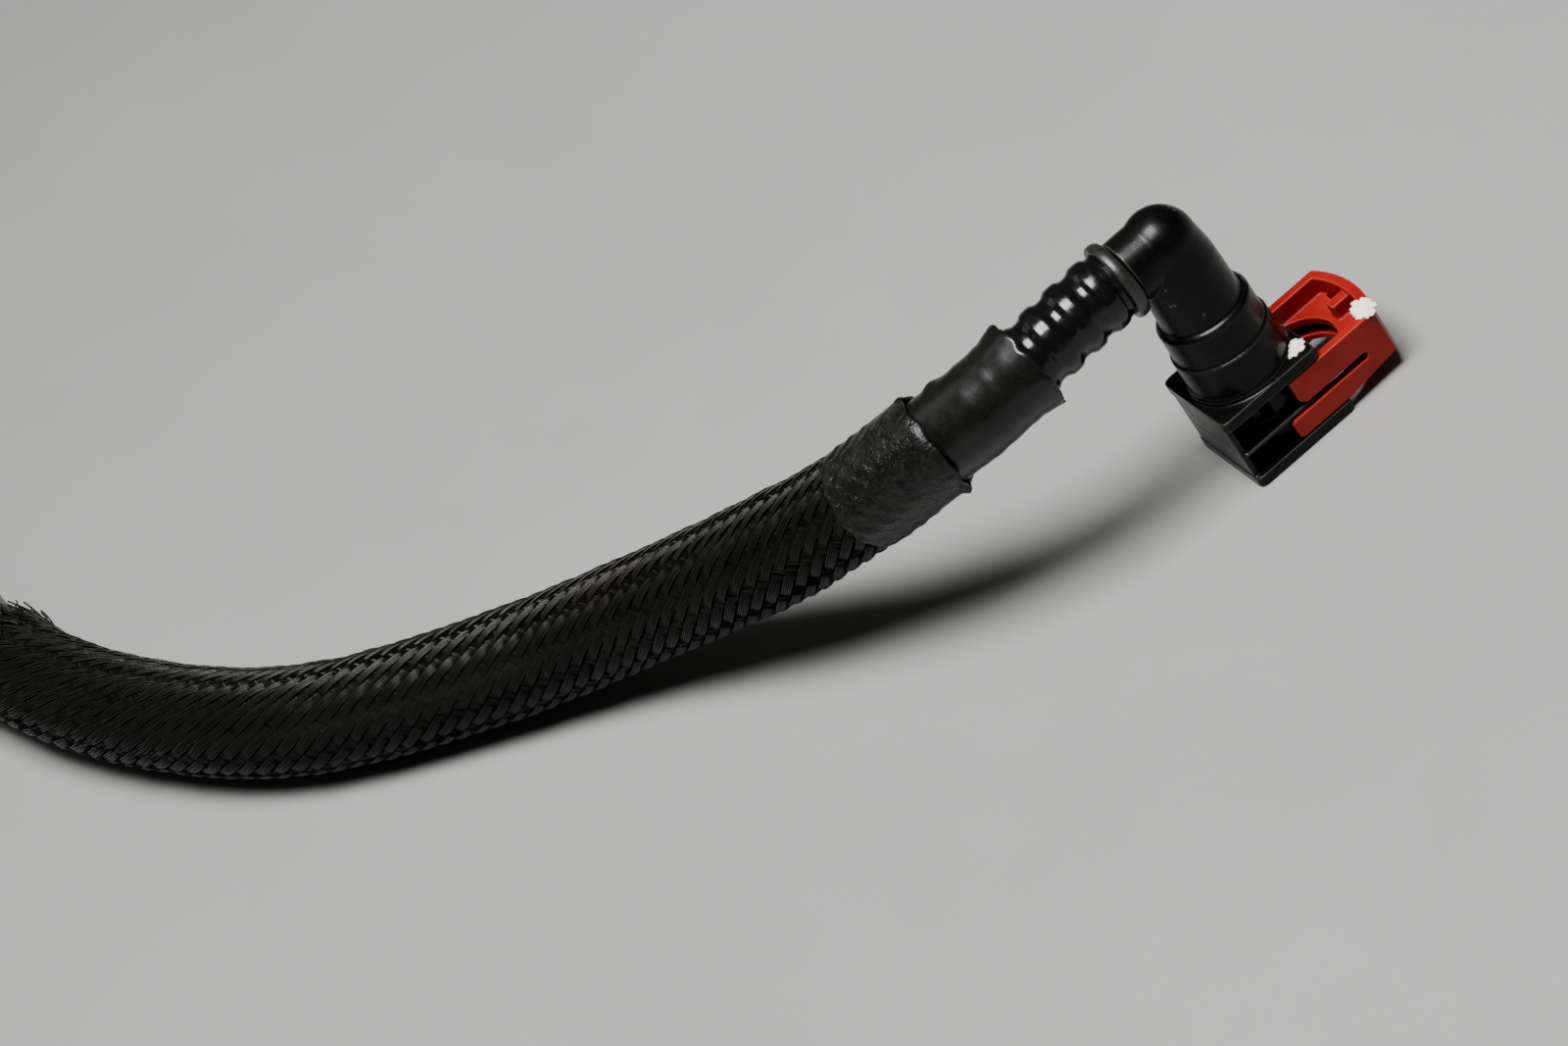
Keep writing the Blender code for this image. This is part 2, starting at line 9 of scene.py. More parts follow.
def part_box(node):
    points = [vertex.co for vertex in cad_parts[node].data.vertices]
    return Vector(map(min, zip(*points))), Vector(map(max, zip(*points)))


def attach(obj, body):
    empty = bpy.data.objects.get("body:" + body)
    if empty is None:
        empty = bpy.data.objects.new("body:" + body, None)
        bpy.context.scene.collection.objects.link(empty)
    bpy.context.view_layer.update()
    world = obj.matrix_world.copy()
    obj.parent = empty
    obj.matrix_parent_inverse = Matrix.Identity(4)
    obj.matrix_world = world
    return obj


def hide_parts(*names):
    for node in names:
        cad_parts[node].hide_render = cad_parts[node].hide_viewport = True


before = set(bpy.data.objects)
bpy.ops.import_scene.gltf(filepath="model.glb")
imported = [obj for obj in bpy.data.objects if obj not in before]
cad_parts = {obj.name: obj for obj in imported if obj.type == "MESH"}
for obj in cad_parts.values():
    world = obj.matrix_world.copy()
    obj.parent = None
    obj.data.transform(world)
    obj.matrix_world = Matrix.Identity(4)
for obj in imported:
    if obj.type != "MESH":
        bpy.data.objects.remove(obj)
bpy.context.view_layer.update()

# Both connectors are built in their own axes: Z from the mouth up the socket, X from the hose to the lock.
housingHalf = 0.010
railLow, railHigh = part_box("rail_elbow_body")
pumpLow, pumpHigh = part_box("pump_elbow_body")
railMouth = Vector((railHigh.x - housingHalf, (railLow.y + railHigh.y) / 2, railLow.z))
pumpMouth = Vector((pumpLow.x, pumpHigh.y - housingHalf, (pumpLow.z + pumpHigh.z) / 2))
railPlace = Matrix.Translation(railMouth)
pumpPlace = Matrix.Translation(pumpMouth) @ Matrix(((0, 0, 1), (1, 0, 0), (0, 1, 0))).to_4x4()
connectorEnds = (("rail", railPlace), ("pump", pumpPlace))
print("frame loaded, rail mouth at", [round(v, 5) for v in railMouth])


# Camera, floor and lights

cameraView = {
    "aim": (-0.0641, 0.0687, 0.0),  # from the rail connector's mouth
    "distance": 1.065,
    "azimuth": -7.72,
    "elevation": 35.25,
    "roll": -36.34,
    "widthAngle": 14.0,
    "sensor": 36.0,
}


def addCamera(settings):
    azimuth, elevation, roll = (math.radians(settings[k]) for k in ("azimuth", "elevation", "roll"))
    ahead = Vector((
        -math.sin(azimuth) * math.cos(elevation),
        math.cos(azimuth) * math.cos(elevation),
        -math.sin(elevation),
    ))
    level = ahead.cross(Vector((0, 0, 1))).normalized()
    lift = level.cross(ahead)
    right = math.cos(roll) * level + math.sin(roll) * lift
    up = -math.sin(roll) * level + math.cos(roll) * lift
    data = bpy.data.cameras.new("mainCamera")
    data.sensor_width = settings["sensor"]
    data.lens = settings["sensor"] / 2 / math.tan(math.radians(settings["widthAngle"]) / 2)
    data.clip_start = 0.05
    data.clip_end = 20
    camera = bpy.data.objects.new("mainCamera", data)
    bpy.context.scene.collection.objects.link(camera)
    turn = Matrix((right, up, -ahead)).transposed().to_4x4()
    place = railMouth + Vector(settings["aim"]) - settings["distance"] * ahead
    camera.matrix_world = Matrix.Translation(place) @ turn
    bpy.context.scene.camera = camera


addCamera(cameraView)
print("camera placed")


# The hose's line: the same points as the part's own route, over the rail connector's mouth

hoseRoute = (
    (0, 0, 0.0425),
    (-0.009, 0, 0.0425),
    (-0.017, 0, 0.0424),
    (-0.025, 0.0004, 0.0416),
    (-0.0368, 0.0037, 0.0386),
    (-0.0453, 0.0089, 0.0353),
    (-0.0588, 0.0192, 0.0291),
    (-0.0712, 0.0314, 0.0233),
    (-0.0817, 0.0433, 0.0187),
    (-0.0953, 0.0577, 0.0142),
    (-0.1085, 0.0695, 0.0115),
    (-0.1204, 0.0792, 0.0106),
    (-0.1312, 0.0883, 0.0102),
    (-0.141, 0.0977, 0.01),
    (-0.1499, 0.1088, 0.01),
    (-0.158, 0.1226, 0.01),
    (-0.1653, 0.1385, 0.01),
    (-0.1707, 0.1534, 0.01),
    (-0.1743, 0.1672, 0.01),
    (-0.1763, 0.181, 0.0099),
    (-0.1771, 0.195, 0.0097),
    (-0.1774, 0.2069, 0.0096),
    (-0.1774, 0.214, 0.0096),
    (-0.1774, 0.2212, 0.0096),
    (-0.1774, 0.2284, 0.0096),
)


def smoothLine(route, steps=24):
    points = np.array(route) + np.array(railMouth)
    chords = np.linalg.norm(np.diff(points, axis=0), axis=1)
    slopes = np.gradient(points, np.concatenate([[0], np.cumsum(chords)]), axis=0)
    slopes[0] = (points[1] - points[0]) / chords[0]
    slopes[-1] = (points[-1] - points[-2]) / chords[-1]
    line = []
    for i, chord in enumerate(chords):
        for t in np.linspace(0, 1, steps, endpoint=False):
            line.append(
                (2 * t**3 - 3 * t**2 + 1) * points[i]
                + (t**3 - 2 * t**2 + t) * chord * slopes[i]
                + (3 * t**2 - 2 * t**3) * points[i + 1]
                + (t**3 - t**2) * chord * slopes[i + 1]
            )
    line = np.array([*line, points[-1]])
    return line, np.concatenate([[0], np.cumsum(np.linalg.norm(np.diff(line, axis=0), axis=1))])


hoseLine, hoseAlong = smoothLine(hoseRoute)
hoseLength = float(hoseAlong[-1])
print(f"hose line is {hoseLength * 1000:.1f} mm from corner to corner")


def linePoints(places):
    return np.stack([np.interp(places, hoseAlong, hoseLine[:, k]) for k in range(3)], axis=-1)


def lineFrames(places, reach=0.0012):  # centres, and the crosswise and upward directions there
    ahead = linePoints(places + reach) - linePoints(places - reach)
    across = np.cross(ahead, (0.0, 0.0, 1.0))
    across /= np.linalg.norm(across, axis=-1, keepdims=True)
    lift = np.cross(across, ahead)
    lift /= np.linalg.norm(lift, axis=-1, keepdims=True)
    return linePoints(places), across, lift


def aroundLine(places, turns, radii):  # points at these distances, angles and radii round the hose's line
    centres, across, lift = lineFrames(places)
    outward = np.cos(turns)[..., None] * across + np.sin(turns)[..., None] * lift
    return centres + radii[..., None] * outward


def ripple(values, seed, waves=5, longest=1.0):  # smooth unevenness of about -1 to 1, the same each run
    draws = np.random.default_rng(seed)
    total = np.zeros_like(values, dtype=float)
    for k in range(waves):
        quickness = math.tau / longest * (1 + 1.7 * k) * draws.uniform(0.8, 1.2)
        total += np.sin(values * quickness + draws.uniform(0, math.tau))
    return total / math.sqrt(waves)


def easeStep(values, low, high):
    share = np.clip((values - low) / (high - low), 0, 1)
    return share * share * (3 - 2 * share)


def mound(distances, width):  # 1 at no distance, falling off smoothly
    return np.exp(-((distances / width) ** 2))


def arcTo(turns, degrees, radius):  # distance round a circle from the angle given in degrees
    return np.angle(np.exp(1j * (turns - math.radians(degrees)))) * radius


# Mesh helpers

floorGap = 0.0001  # what lies on the floor keeps this far above it


def meshObject(name, points, faces, smooth=True):
    mesh = bpy.data.meshes.new(name)
    mesh.from_pydata([tuple(p) for p in points], [], [tuple(f) for f in faces])
    mesh.validate()
    if smooth:
        mesh.shade_smooth()
    made = bpy.data.objects.new(name, mesh)
    bpy.context.scene.collection.objects.link(made)
    return made


def gridFaces(rows, columns):  # quads of a grid whose rows and columns both close on themselves
    row = np.arange(rows)[:, None]
    column = np.arange(columns)[None, :]
    nextRow = (row + 1) % rows
    nextColumn = (column + 1) % columns
    corners = (
        row * columns + column,
        row * columns + nextColumn,
        nextRow * columns + nextColumn,
        nextRow * columns + column,
    )
    return np.stack([np.broadcast_to(c, (rows, columns)) for c in corners], axis=-1).reshape(-1, 4)


def shellAlongHose(name, places, radii, sides):  # out along the outside, back along the inside
    turns = np.linspace(0, math.tau, sides, endpoint=False)
    spots = np.broadcast_to(np.asarray(places, float).reshape(len(radii), -1), (len(radii), sides))
    points = aroundLine(spots, np.broadcast_to(turns, spots.shape), np.broadcast_to(radii, spots.shape))
    points[..., 2] = np.maximum(points[..., 2], floorGap)
    return meshObject(name, points.reshape(-1, 3), gridFaces(*spots.shape)[:, ::-1])


def setAttribute(thing, name, values):
    layer = thing.data.attributes.new(name, "FLOAT", "POINT")
    layer.data.foreach_set("value", np.asarray(values, np.float32).ravel())


def finishedMesh(form, name):
    bmesh.ops.remove_doubles(form, verts=form.verts, dist=1e-7)
    bmesh.ops.recalc_face_normals(form, faces=form.faces)
    mesh = bpy.data.meshes.new(name)
    form.to_mesh(mesh)
    form.free()
    return mesh


def turnedMesh(name, profile, alongHose=False, sides=96):  # (radius, height), turned about Z or -X
    form = bmesh.new()
    corners = [form.verts.new((radius, 0, height)) for radius, height in profile]
    pairs = zip(corners, corners[1:] + corners[:1])
    edges = [form.edges.new(pair) for pair in pairs if pair[0].co.x or pair[1].co.x]
    bmesh.ops.spin(form, geom=corners + edges, cent=(0, 0, 0), axis=(0, 0, 1), dvec=(0, 0, 0),
                   angle=math.tau, steps=sides, use_duplicate=False)
    if alongHose:
        lay = Matrix.Translation((0, 0, hoseRoute[0][2])) @ Matrix.Rotation(-math.pi / 2, 4, "Y")
        bmesh.ops.transform(form, matrix=lay, verts=form.verts)
    return finishedMesh(form, name)


def extrudedMesh(name, outline, low, high, upright=False, cornerRound=0.0):  # in XY, or in XZ if upright
    form = bmesh.new()
    if upright:
        corners = [form.verts.new((x, low, z)) for x, z in outline]
        push = Vector((0, high - low, 0))
    else:
        corners = [form.verts.new((x, y, low)) for x, y in outline]
        push = Vector((0, 0, high - low))
    pushed = bmesh.ops.extrude_face_region(form, geom=[form.faces.new(corners)])["geom"]
    bmesh.ops.translate(form, vec=push, verts=[p for p in pushed if isinstance(p, bmesh.types.BMVert)])
    if cornerRound:
        along = push.normalized()
        stretched = []
        for edge in form.edges:
            direction = (edge.verts[1].co - edge.verts[0].co).normalized()
            if abs(direction.dot(along)) > 0.99:
                stretched.append(edge)
        bmesh.ops.bevel(form, geom=stretched, offset=cornerRound, segments=4, profile=0.5, affect="EDGES")
    return finishedMesh(form, name)


def boxMesh(name, x, y, z, cornerRound=0.0):
    outline = [(x[0], y[0]), (x[1], y[0]), (x[1], y[1]), (x[0], y[1])]
    return extrudedMesh(name, outline, z[0], z[1], cornerRound=cornerRound)


def mouldedMesh(name, base, steps, voxel, softening):  # joins, cuts and rounds every edge
    body = bpy.data.objects.new(name, base)
    bpy.context.scene.collection.objects.link(body)
    helpers = []
    for operation, mesh in steps:
        helper = bpy.data.objects.new("helper", mesh)
        bpy.context.scene.collection.objects.link(helper)
        helpers.append(helper)
        cut = body.modifiers.new(operation.lower(), "BOOLEAN")
        cut.operation = operation
        cut.solver = "EXACT"
        cut.object = helper
    skin = body.modifiers.new("skin", "REMESH")
    skin.mode = "VOXEL"
    skin.voxel_size = voxel
    skin.use_smooth_shade = True
    soften = body.modifiers.new("soften", "SMOOTH")
    soften.factor = 0.5
    soften.iterations = softening
    graph = bpy.context.evaluated_depsgraph_get()
    mesh = bpy.data.meshes.new_from_object(body.evaluated_get(graph))
    for thing in (body, *helpers):
        bpy.data.objects.remove(thing, do_unlink=True)
    mesh.shade_smooth()
    mesh.name = name
    return mesh


def placed(name, mesh, place, body, finish, slotName, *stoodFor):
    made = bpy.data.objects.new(name, mesh)
    bpy.context.scene.collection.objects.link(made)
    made.matrix_world = place
    return dressed(made, body, finish, slotName, *stoodFor)


def dressed(made, body, finish, slotName, *stoodFor):
    made.data.materials.clear()
    made.data.materials.append(finish)
    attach(made, body)
    if stoodFor:
        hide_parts(*stoodFor)
    return made


# Material helpers

class Finish:
    def __init__(self, name):
        self.material = bpy.data.materials.new(name)
        self.material.use_nodes = True
        self.nodes = self.material.node_tree.nodes
        self.links = self.material.node_tree.links
        self.shader = self.nodes["Principled BSDF"]
        self.spot = self.nodes.new("ShaderNodeTexCoord").outputs["Object"]

    def noise(self, scale, detail=4.0, rough=0.55):
        made = self.nodes.new("ShaderNodeTexNoise")
        made.inputs["Scale"].default_value = scale
        made.inputs["Detail"].default_value = detail
        made.inputs["Roughness"].default_value = rough
        self.links.new(self.spot, made.inputs["Vector"])
        return made.outputs["Fac"]

    def attribute(self, name):
        made = self.nodes.new("ShaderNodeAttribute")
        made.attribute_name = name
        return made.outputs["Fac"]

    def remap(self, source, fromLow, fromHigh, toLow=0.0, toHigh=1.0):
        made = self.nodes.new("ShaderNodeMapRange")
        for socket, value in zip(made.inputs[1:5], (fromLow, fromHigh, toLow, toHigh)):
            socket.default_value = value
        self.links.new(source, made.inputs["Value"])
        return made.outputs["Result"]

    def math(self, operation, first, second):
        made = self.nodes.new("ShaderNodeMath")
        made.operation = operation
        for socket, value in zip(made.inputs, (first, second)):
            if isinstance(value, float):
                socket.default_value = value
            else:
                self.links.new(value, socket)
        return made.outputs["Value"]

    def edges(self, low, high):  # 1 where the surface is convex, from pointiness: edge wear with painted highlights, and turned round, painted shade in nooks
        return self.remap(self.nodes.new("ShaderNodeNewGeometry").outputs["Pointiness"], low, high)

    def blend(self, share, first, second):
        made = self.nodes.new("ShaderNodeMix")
        made.data_type = "RGBA"
        self.links.new(share, made.inputs["Factor"])
        for socket, value in ((made.inputs[6], first), (made.inputs[7], second)):
            if isinstance(value, tuple):
                socket.default_value = (*value, 1)
            else:
                self.links.new(value, socket)
        return made.outputs[2]

    def bump(self, height, distance, strength=1.0, over=None):
        made = self.nodes.new("ShaderNodeBump")
        made.inputs["Distance"].default_value = distance
        made.inputs["Strength"].default_value = strength
        self.links.new(height, made.inputs["Height"])
        if over is not None:
            self.links.new(over, made.inputs["Normal"])
        return made.outputs["Normal"]

    def done(self, colour, roughness, normal=None, **plain):
        self.links.new(colour, self.shader.inputs["Base Color"])
        self.links.new(roughness, self.shader.inputs["Roughness"])
        if normal is not None:
            self.links.new(normal, self.shader.inputs["Normal"])
        for name, value in plain.items():
            self.shader.inputs[name.replace("_", " ")].default_value = value
        return self.material


# Stage: a plain pale floor under soft studio light

studio = {
    "floorSize": 6.0,
    "floorColour": (0.225, 0.222, 0.217),
    "worldColour": (0.84, 0.84, 0.80),
    "worldStrength": 0.07,
    "mainPower": 26.0,
    "mainSize": (0.46, 0.40),
    "mainFrom": (-0.02, -0.24, 0.88),
    "sidePower": 0.8,
    "sideSize": (0.5, 0.5),
    "sideFrom": (-0.55, 0.6, 0.8),
}


def addLight(name, power, size, place):  # turned towards the middle of the part
    data = bpy.data.lights.new(name, "AREA")
    data.shape = "RECTANGLE"
    data.size, data.size_y = size
    data.energy = power
    light = bpy.data.objects.new(name, data)
    bpy.context.scene.collection.objects.link(light)
    light.location = place
    light.rotation_euler = (-Vector(place)).to_track_quat("-Z", "Y").to_euler()


def addStage(settings):
    finish = Finish("floorPaint")
    tone = finish.remap(finish.noise(9.0, 3.0), 0.3, 0.7)
    pale = settings["floorColour"]
    colour = finish.blend(tone, tuple(0.97 * v for v in pale), tuple(1.02 * v for v in pale))
    rough = finish.remap(finish.noise(40.0), 0.3, 0.7, 0.5, 0.6)
    half = settings["floorSize"] / 2
    corners = [(-half, -half, 0), (half, -half, 0), (half, half, 0), (-half, half, 0)]
    floor = meshObject("floor", corners, [(0, 1, 2, 3)], False)
    floor.data.materials.append(finish.done(colour, rough))
    world = bpy.data.worlds.new("studio")
    world.use_nodes = True
    world.node_tree.nodes["Background"].inputs["Color"].default_value = (*settings["worldColour"], 1)
    world.node_tree.nodes["Background"].inputs["Strength"].default_value = settings["worldStrength"]
    bpy.context.scene.world = world
    addLight("mainLight", settings["mainPower"], settings["mainSize"], settings["mainFrom"])
    addLight("sideLight", settings["sidePower"], settings["sideSize"], settings["sideFrom"])


addStage(studio)
print("floor and lights placed")


# Corrugated tube: glossy nylon, ribbed where it is bare

tube = {
    "crest": 0.0064,
    "valley": 0.00575,
    "plain": 0.0058,
    "bore": 0.004,
    "end": 0.0076,
    "pitch": 0.005,
    "firstCrest": 0.0128,
    "crests": 5,
    "flatness": 1.7,  # how flat the crests and valleys are
    "crestShare": 0.25,  # above 0, a crest is longer than a valley
    "step": 0.0003,
    "innerEvery": 8,  # the bore is plain, so it needs one ring for so many outside
    "sides": 72,
}


def tubeRadius(places):  # flat-topped crests near each end, plain between
    fromEnd = np.minimum(places, hoseLength - places)
    wave = np.cos((fromEnd - tube["firstCrest"]) / tube["pitch"] * math.tau)
    ribbed = 0.5 + 0.5 * np.tanh(tube["flatness"] * (wave + tube["crestShare"])) / math.tanh(1.9)
    first = tube["firstCrest"] - 0.5 * tube["pitch"]
    last = tube["firstCrest"] + (tube["crests"] - 0.5) * tube["pitch"]
    radius = tube["valley"] + (tube["crest"] - tube["valley"]) * ribbed
    radius = np.where(fromEnd < first, tube["valley"], radius)
    return np.where(fromEnd > last, tube["plain"], radius)


def tubeFinish():
    finish = Finish("glossyTubeNylon")
    dust = finish.remap(finish.noise(420.0, 6.0, 0.65), 0.52, 0.78)
    colour = finish.blend(dust, (0.0020, 0.0020, 0.0022), (0.0072, 0.0069, 0.0060))
    rough = finish.remap(finish.noise(900.0, 5.0), 0.35, 0.7, 0.13, 0.26)
    normal = finish.bump(finish.noise(650.0, 3.0), 0.00008, 0.5)
    return finish.done(colour, rough, normal, Specular_IOR_Level=0.34)


def addTube():
    start, end = tube["end"], hoseLength - tube["end"]
    out = np.arange(start, end, tube["step"])
    back = out[:: -tube["innerEvery"]]
    places = np.concatenate([out, [end], back])
    radii = np.concatenate([tubeRadius(out), np.full(len(back) + 1, tube["bore"])])
    made = shellAlongHose("corrugatedTube", places[:, None], radii[:, None], tube["sides"])
    return dressed(made, "hose", tubeFinish(), "tube_nylon", "corrugated_tube")


corrugatedTube = addTube()
print("corrugated tube made")


# Protector hose: smooth rubber over the tube, with a rough flared rim at each end

protector = {
    "end": 0.028,
    "radius": 0.0076,
    "rim": 0.0083,
    "rimLength": 0.0042,
    "rimLobes": 0.00015,
    "bore": 0.0066,
    "wall": 0.0007,
    "rimWall": 0.0009,
    "ragged": 0.00022,
    "skew": 0.0018,  # how far the cut runs askew
    "skewAngle": 145,
    "uneven": 0.00006,
    "bulges": ((0.0424, 60, 0.0005), (0.0405, 238, 0.0002)),  # place, angle in degrees, height
    "bulgeLength": 0.0014,
    "bulgeWidth": 0.0024,
    "sides": 96,
    "step": 0.0006,
}


def protectorFinish():
    finish = Finish("protectorRubber")
    cloud = finish.remap(finish.noise(150.0, 5.0, 0.6), 0.4, 0.72)
    speck = finish.remap(finish.noise(1500.0, 4.0, 0.7), 0.58, 0.72)
    colour = finish.blend(cloud, (0.0020, 0.0020, 0.0018), (0.0055, 0.0053, 0.0047))
    colour = finish.blend(speck, colour, (0.010, 0.0095, 0.008))
    rough = finish.remap(finish.noise(700.0, 5.0), 0.3, 0.7, 0.26, 0.36)
    grain = finish.bump(finish.noise(1800.0, 4.0, 0.6), 0.00003, 0.3)
    normal = finish.bump(finish.noise(190.0, 2.0), 0.0001, 0.2, grain)
    return finish.done(colour, rough, normal, Specular_IOR_Level=0.30)


def addProtector():
    turns = np.linspace(0, math.tau, protector["sides"], endpoint=False)
    start, end = protector["end"], hoseLength - protector["end"]
    torn = protector["ragged"] * ripple(turns, 5, 4, math.tau / 3)
    torn = torn - protector["skew"] * np.maximum(np.cos(turns - math.radians(protector["skewAngle"])), 0)
    rim = protector["rim"] + protector["rimLobes"] * ripple(turns, 8, 3, math.tau / 2)
    out = np.arange(start, end + 1e-6, protector["step"])
    out[-1] = end
    nearest = np.minimum(out - start, end - out)
    flare = (1 - easeStep(nearest, 0.0, protector["rimLength"])) ** 1.3
    radii = protector["radius"] + (rim - protector["radius"])[None, :] * flare[:, None]
    radii = radii + protector["uneven"] * ripple(out, 3, 6, 0.02)[:, None]
    for place, degrees, height in protector["bulges"]:
        lengthwise = mound(out - place, protector["bulgeLength"])[:, None]
        sidewise = mound(arcTo(turns, degrees, protector["radius"]), protector["bulgeWidth"])[None, :]
        radii = radii + height * lengthwise * sidewise
    pull = np.where(out < hoseLength / 2, 1, -1)[:, None] * torn[None, :] * (flare[:, None] ** 0.7)
    places = out[:, None] + pull
    wall = protector["wall"] + (protector["rimWall"] - protector["wall"]) * flare[:, None]
    inner = np.maximum(radii[::-1] - wall[::-1], protector["bore"])
    made = shellAlongHose("protectorHose", np.concatenate([places, places[::-1]]),
                          np.concatenate([radii, inner]), protector["sides"])
    return dressed(made, "hose", protectorFinish(), "protector_rubber", "protector_hose")


protectorHose = addProtector()
print("protector hose made")


# Braided sleeve: flat bundles of filaments wound both ways, each over two of the others and under two

braid = {
    "start": 0.0605,
    "freeEnd": 0.049,  # from the pump connector's corner
    "carriers": 24,  # bundles each way
    "rows": 12,  # lines of floats round the sleeve, one for every two bundles
    "filaments": 5,
    "filamentRadius": 0.00016,
    "bundleWidth": 0.00128,
    "lean": 0.82,  # how much of a bundle's width lies round the sleeve
    "crown": 0.00006,  # a bundle is thicker in the middle
    "rise": 0.00011,
    "sunk": 0.00009,  # the other family lies lower
    "ridge": 0.00012,  # how far the rows stand up
    "rowAngle": 8.0,  # where the rows lie, in degrees
    "sway": 0.006,
    "loosens": (0.15, 0.25),  # from tight to loose
    "step": 0.0004,
    "sides": 4,
    "radius": 0.0091,
    "strandRadius": 0.0092,
    "lining": 0.00024,  # the dense inner layer, under the strands
    "liningBore": 0.0083,
    "liningEnds": 0.0006,  # before the strands do
    "frayFrom": 0.012,  # from the cut end
    "frayLength": 0.006,
    "stainAt": 0.119,
    "stainAngle": 1.70,
}


def braidPitch(places):  # length between bundles of a row: tight at the cuff, open at the free end
    return 0.0033 + 0.0002 * easeStep(places, 0.07, 0.12) + 0.0014 * easeStep(places, 0.17, 0.27)


def braidTurn(places):  # how far a bundle has wound round, in radians
    fine = np.arange(0.04, hoseLength + 0.02, 0.0001)
    wound = np.concatenate([[0], np.cumsum(0.0001 * math.tau / braid["carriers"] / braidPitch(fine[:-1]))])
    return np.interp(places, fine, wound)


def sleeveRadius(places, turns):  # narrow under the cuff, widest at the free end, never quite even
    radius = braid["radius"] - 0.0007 * (1 - easeStep(places, 0.060, 0.092))
    radius = radius + 0.00015 * easeStep(places, 0.16, 0.26)
    lengthwise = 0.00007 * ripple(places, 21, 4, 0.06)
    return radius + lengthwise + 0.00005 * ripple(turns + places * 9, 22, 3, math.tau / 2)


def strandPaths(way, carriers):  # way is 1 or -1: which way round the bundles wind
    end = hoseLength - braid["freeEnd"]
    even = np.arange(braid["start"], end, braid["step"])
    wound = way * braidTurn(even)
    fray = easeStep(even, end - braid["frayFrom"], end)
    tip = easeStep(even, end - 0.004, end)
    loose = easeStep(even, *braid["loosens"])
    ridge = braid["ridge"] * (1 - 0.4 * easeStep(even, 0.15, 0.2))
    draws = np.random.default_rng(40 + way)
    paths, outward, tonesAndShade = [], [], []
    count, width = braid["filaments"], braid["bundleWidth"]
    rowAngle = math.radians(braid["rowAngle"])
    for carrier in carriers:
        sway = braid["sway"] * ripple(even, 100 + carrier * 7 + way, 3, 0.05)
        first = rowAngle + math.tau * (carrier + 0.25) / braid["carriers"]
        for k in range(count):
            side = (k / (count - 1) - 0.5) * width
            seed = 1000 + 50 * carrier + 5 * k + way
            spread = side * (1 + 0.16 * loose + 0.4 * fray)
            spread = spread + (0.00002 + 0.00004 * loose) * ripple(even, seed, 4, 0.022)
            offset = spread / braid["strandRadius"] / braid["lean"] + sway
            turns = first + wound + offset
            row = np.cos(braid["rows"] * (turns - offset - rowAngle))
            rise = way * braid["rise"] * np.tanh(1.6 * (row + 0.15)) - (braid["sunk"] if way < 0 else 0)
            crown = braid["crown"] * (1 - (side / (width / 2)) ** 2)
            radii = sleeveRadius(even, turns) + rise + crown + ridge * row
            radii = radii + (0.00003 + 0.00003 * loose) * ripple(even, seed + 9000, 4, 0.03)
            radii = radii + fray * draws.uniform(-0.0006, 0.0012)
            stretch = even + tip * draws.uniform(-0.0015, 0.5 * braid["frayLength"])
            turns = turns + fray * draws.normal(0, 0.10)
            paths.append(aroundLine(stretch, turns, radii))
            outward.append(paths[-1] - linePoints(stretch))
            # Strand tone is random within each family, and the second family is painted darker: painted
            # shade on the bundles that face away from the light.
            tonesAndShade.append(np.full(len(even), draws.uniform(0.3, 1) if way > 0 else draws.uniform(0, 0.3)))
    return np.array(paths), np.array(outward), np.array(tonesAndShade), even


def strandMesh(name, paths, outward, radius, sides):  # one closed tube along each path
    paths[..., 2] = np.maximum(paths[..., 2], radius + floorGap)
    ahead = np.gradient(paths, axis=1)
    ahead /= np.linalg.norm(ahead, axis=-1, keepdims=True)
    outward = outward - (outward * ahead).sum(-1, keepdims=True) * ahead
    outward /= np.linalg.norm(outward, axis=-1, keepdims=True)
    beside = np.cross(ahead, outward)
    strands, length = paths.shape[:2]
    turns = np.arange(sides) * math.tau / sides
    ring = np.cos(turns)[:, None] * outward[:, :, None, :] + np.sin(turns)[:, None] * beside[:, :, None, :]
    points = (paths[:, :, None, :] + radius * ring).reshape(-1, 3)
    base = gridFaces(length, sides)[: (length - 1) * sides]
    faces = [tuple(f) for strand in range(strands) for f in (base + strand * length * sides).tolist()]
    for strand in range(strands):
        first = strand * length * sides
        last = first + (length - 1) * sides
        faces.append(tuple(range(first + sides - 1, first - 1, -1)))
        faces.append(tuple(range(last, last + sides)))
    return meshObject(name, points.tolist(), faces)


def braidFinish(name, shine):
    finish = Finish(name)
    # Low tones carry painted shade: the second family's strands are painted darker as if they lay in shade.
    tone = finish.attribute("strandToneAndShade")
    cloud = finish.remap(finish.noise(95.0, 4.0, 0.6), 0.4, 0.7)
    colour = finish.blend(tone, (0.0008, 0.0008, 0.0006), (0.0066, 0.0064, 0.0050))
    colour = finish.blend(finish.math("MULTIPLY", cloud, 0.25), colour, (0.009, 0.0084, 0.0066))
    stain = finish.math("MULTIPLY", finish.attribute("stain"), 0.6)
    colour = finish.blend(stain, colour, (0.014, 0.0075, 0.0042))
    rough = finish.remap(finish.noise(1300.0, 3.0), 0.3, 0.7, 0.28, 0.42)
    return finish.done(colour, rough, None, Specular_IOR_Level=shine)


def liningFinish():
    finish = Finish("braidUnderside")
    cloud = finish.remap(finish.noise(500.0, 5.0), 0.4, 0.7)
    colour = finish.blend(cloud, (0.0022, 0.0022, 0.0020), (0.006, 0.0058, 0.005))
    rough = finish.remap(finish.noise(900.0), 0.3, 0.7, 0.6, 0.75)
    normal = finish.bump(finish.noise(1500.0, 4.0), 0.0002, 0.8)
    return finish.done(colour, rough, normal, Specular_IOR_Level=0.2)


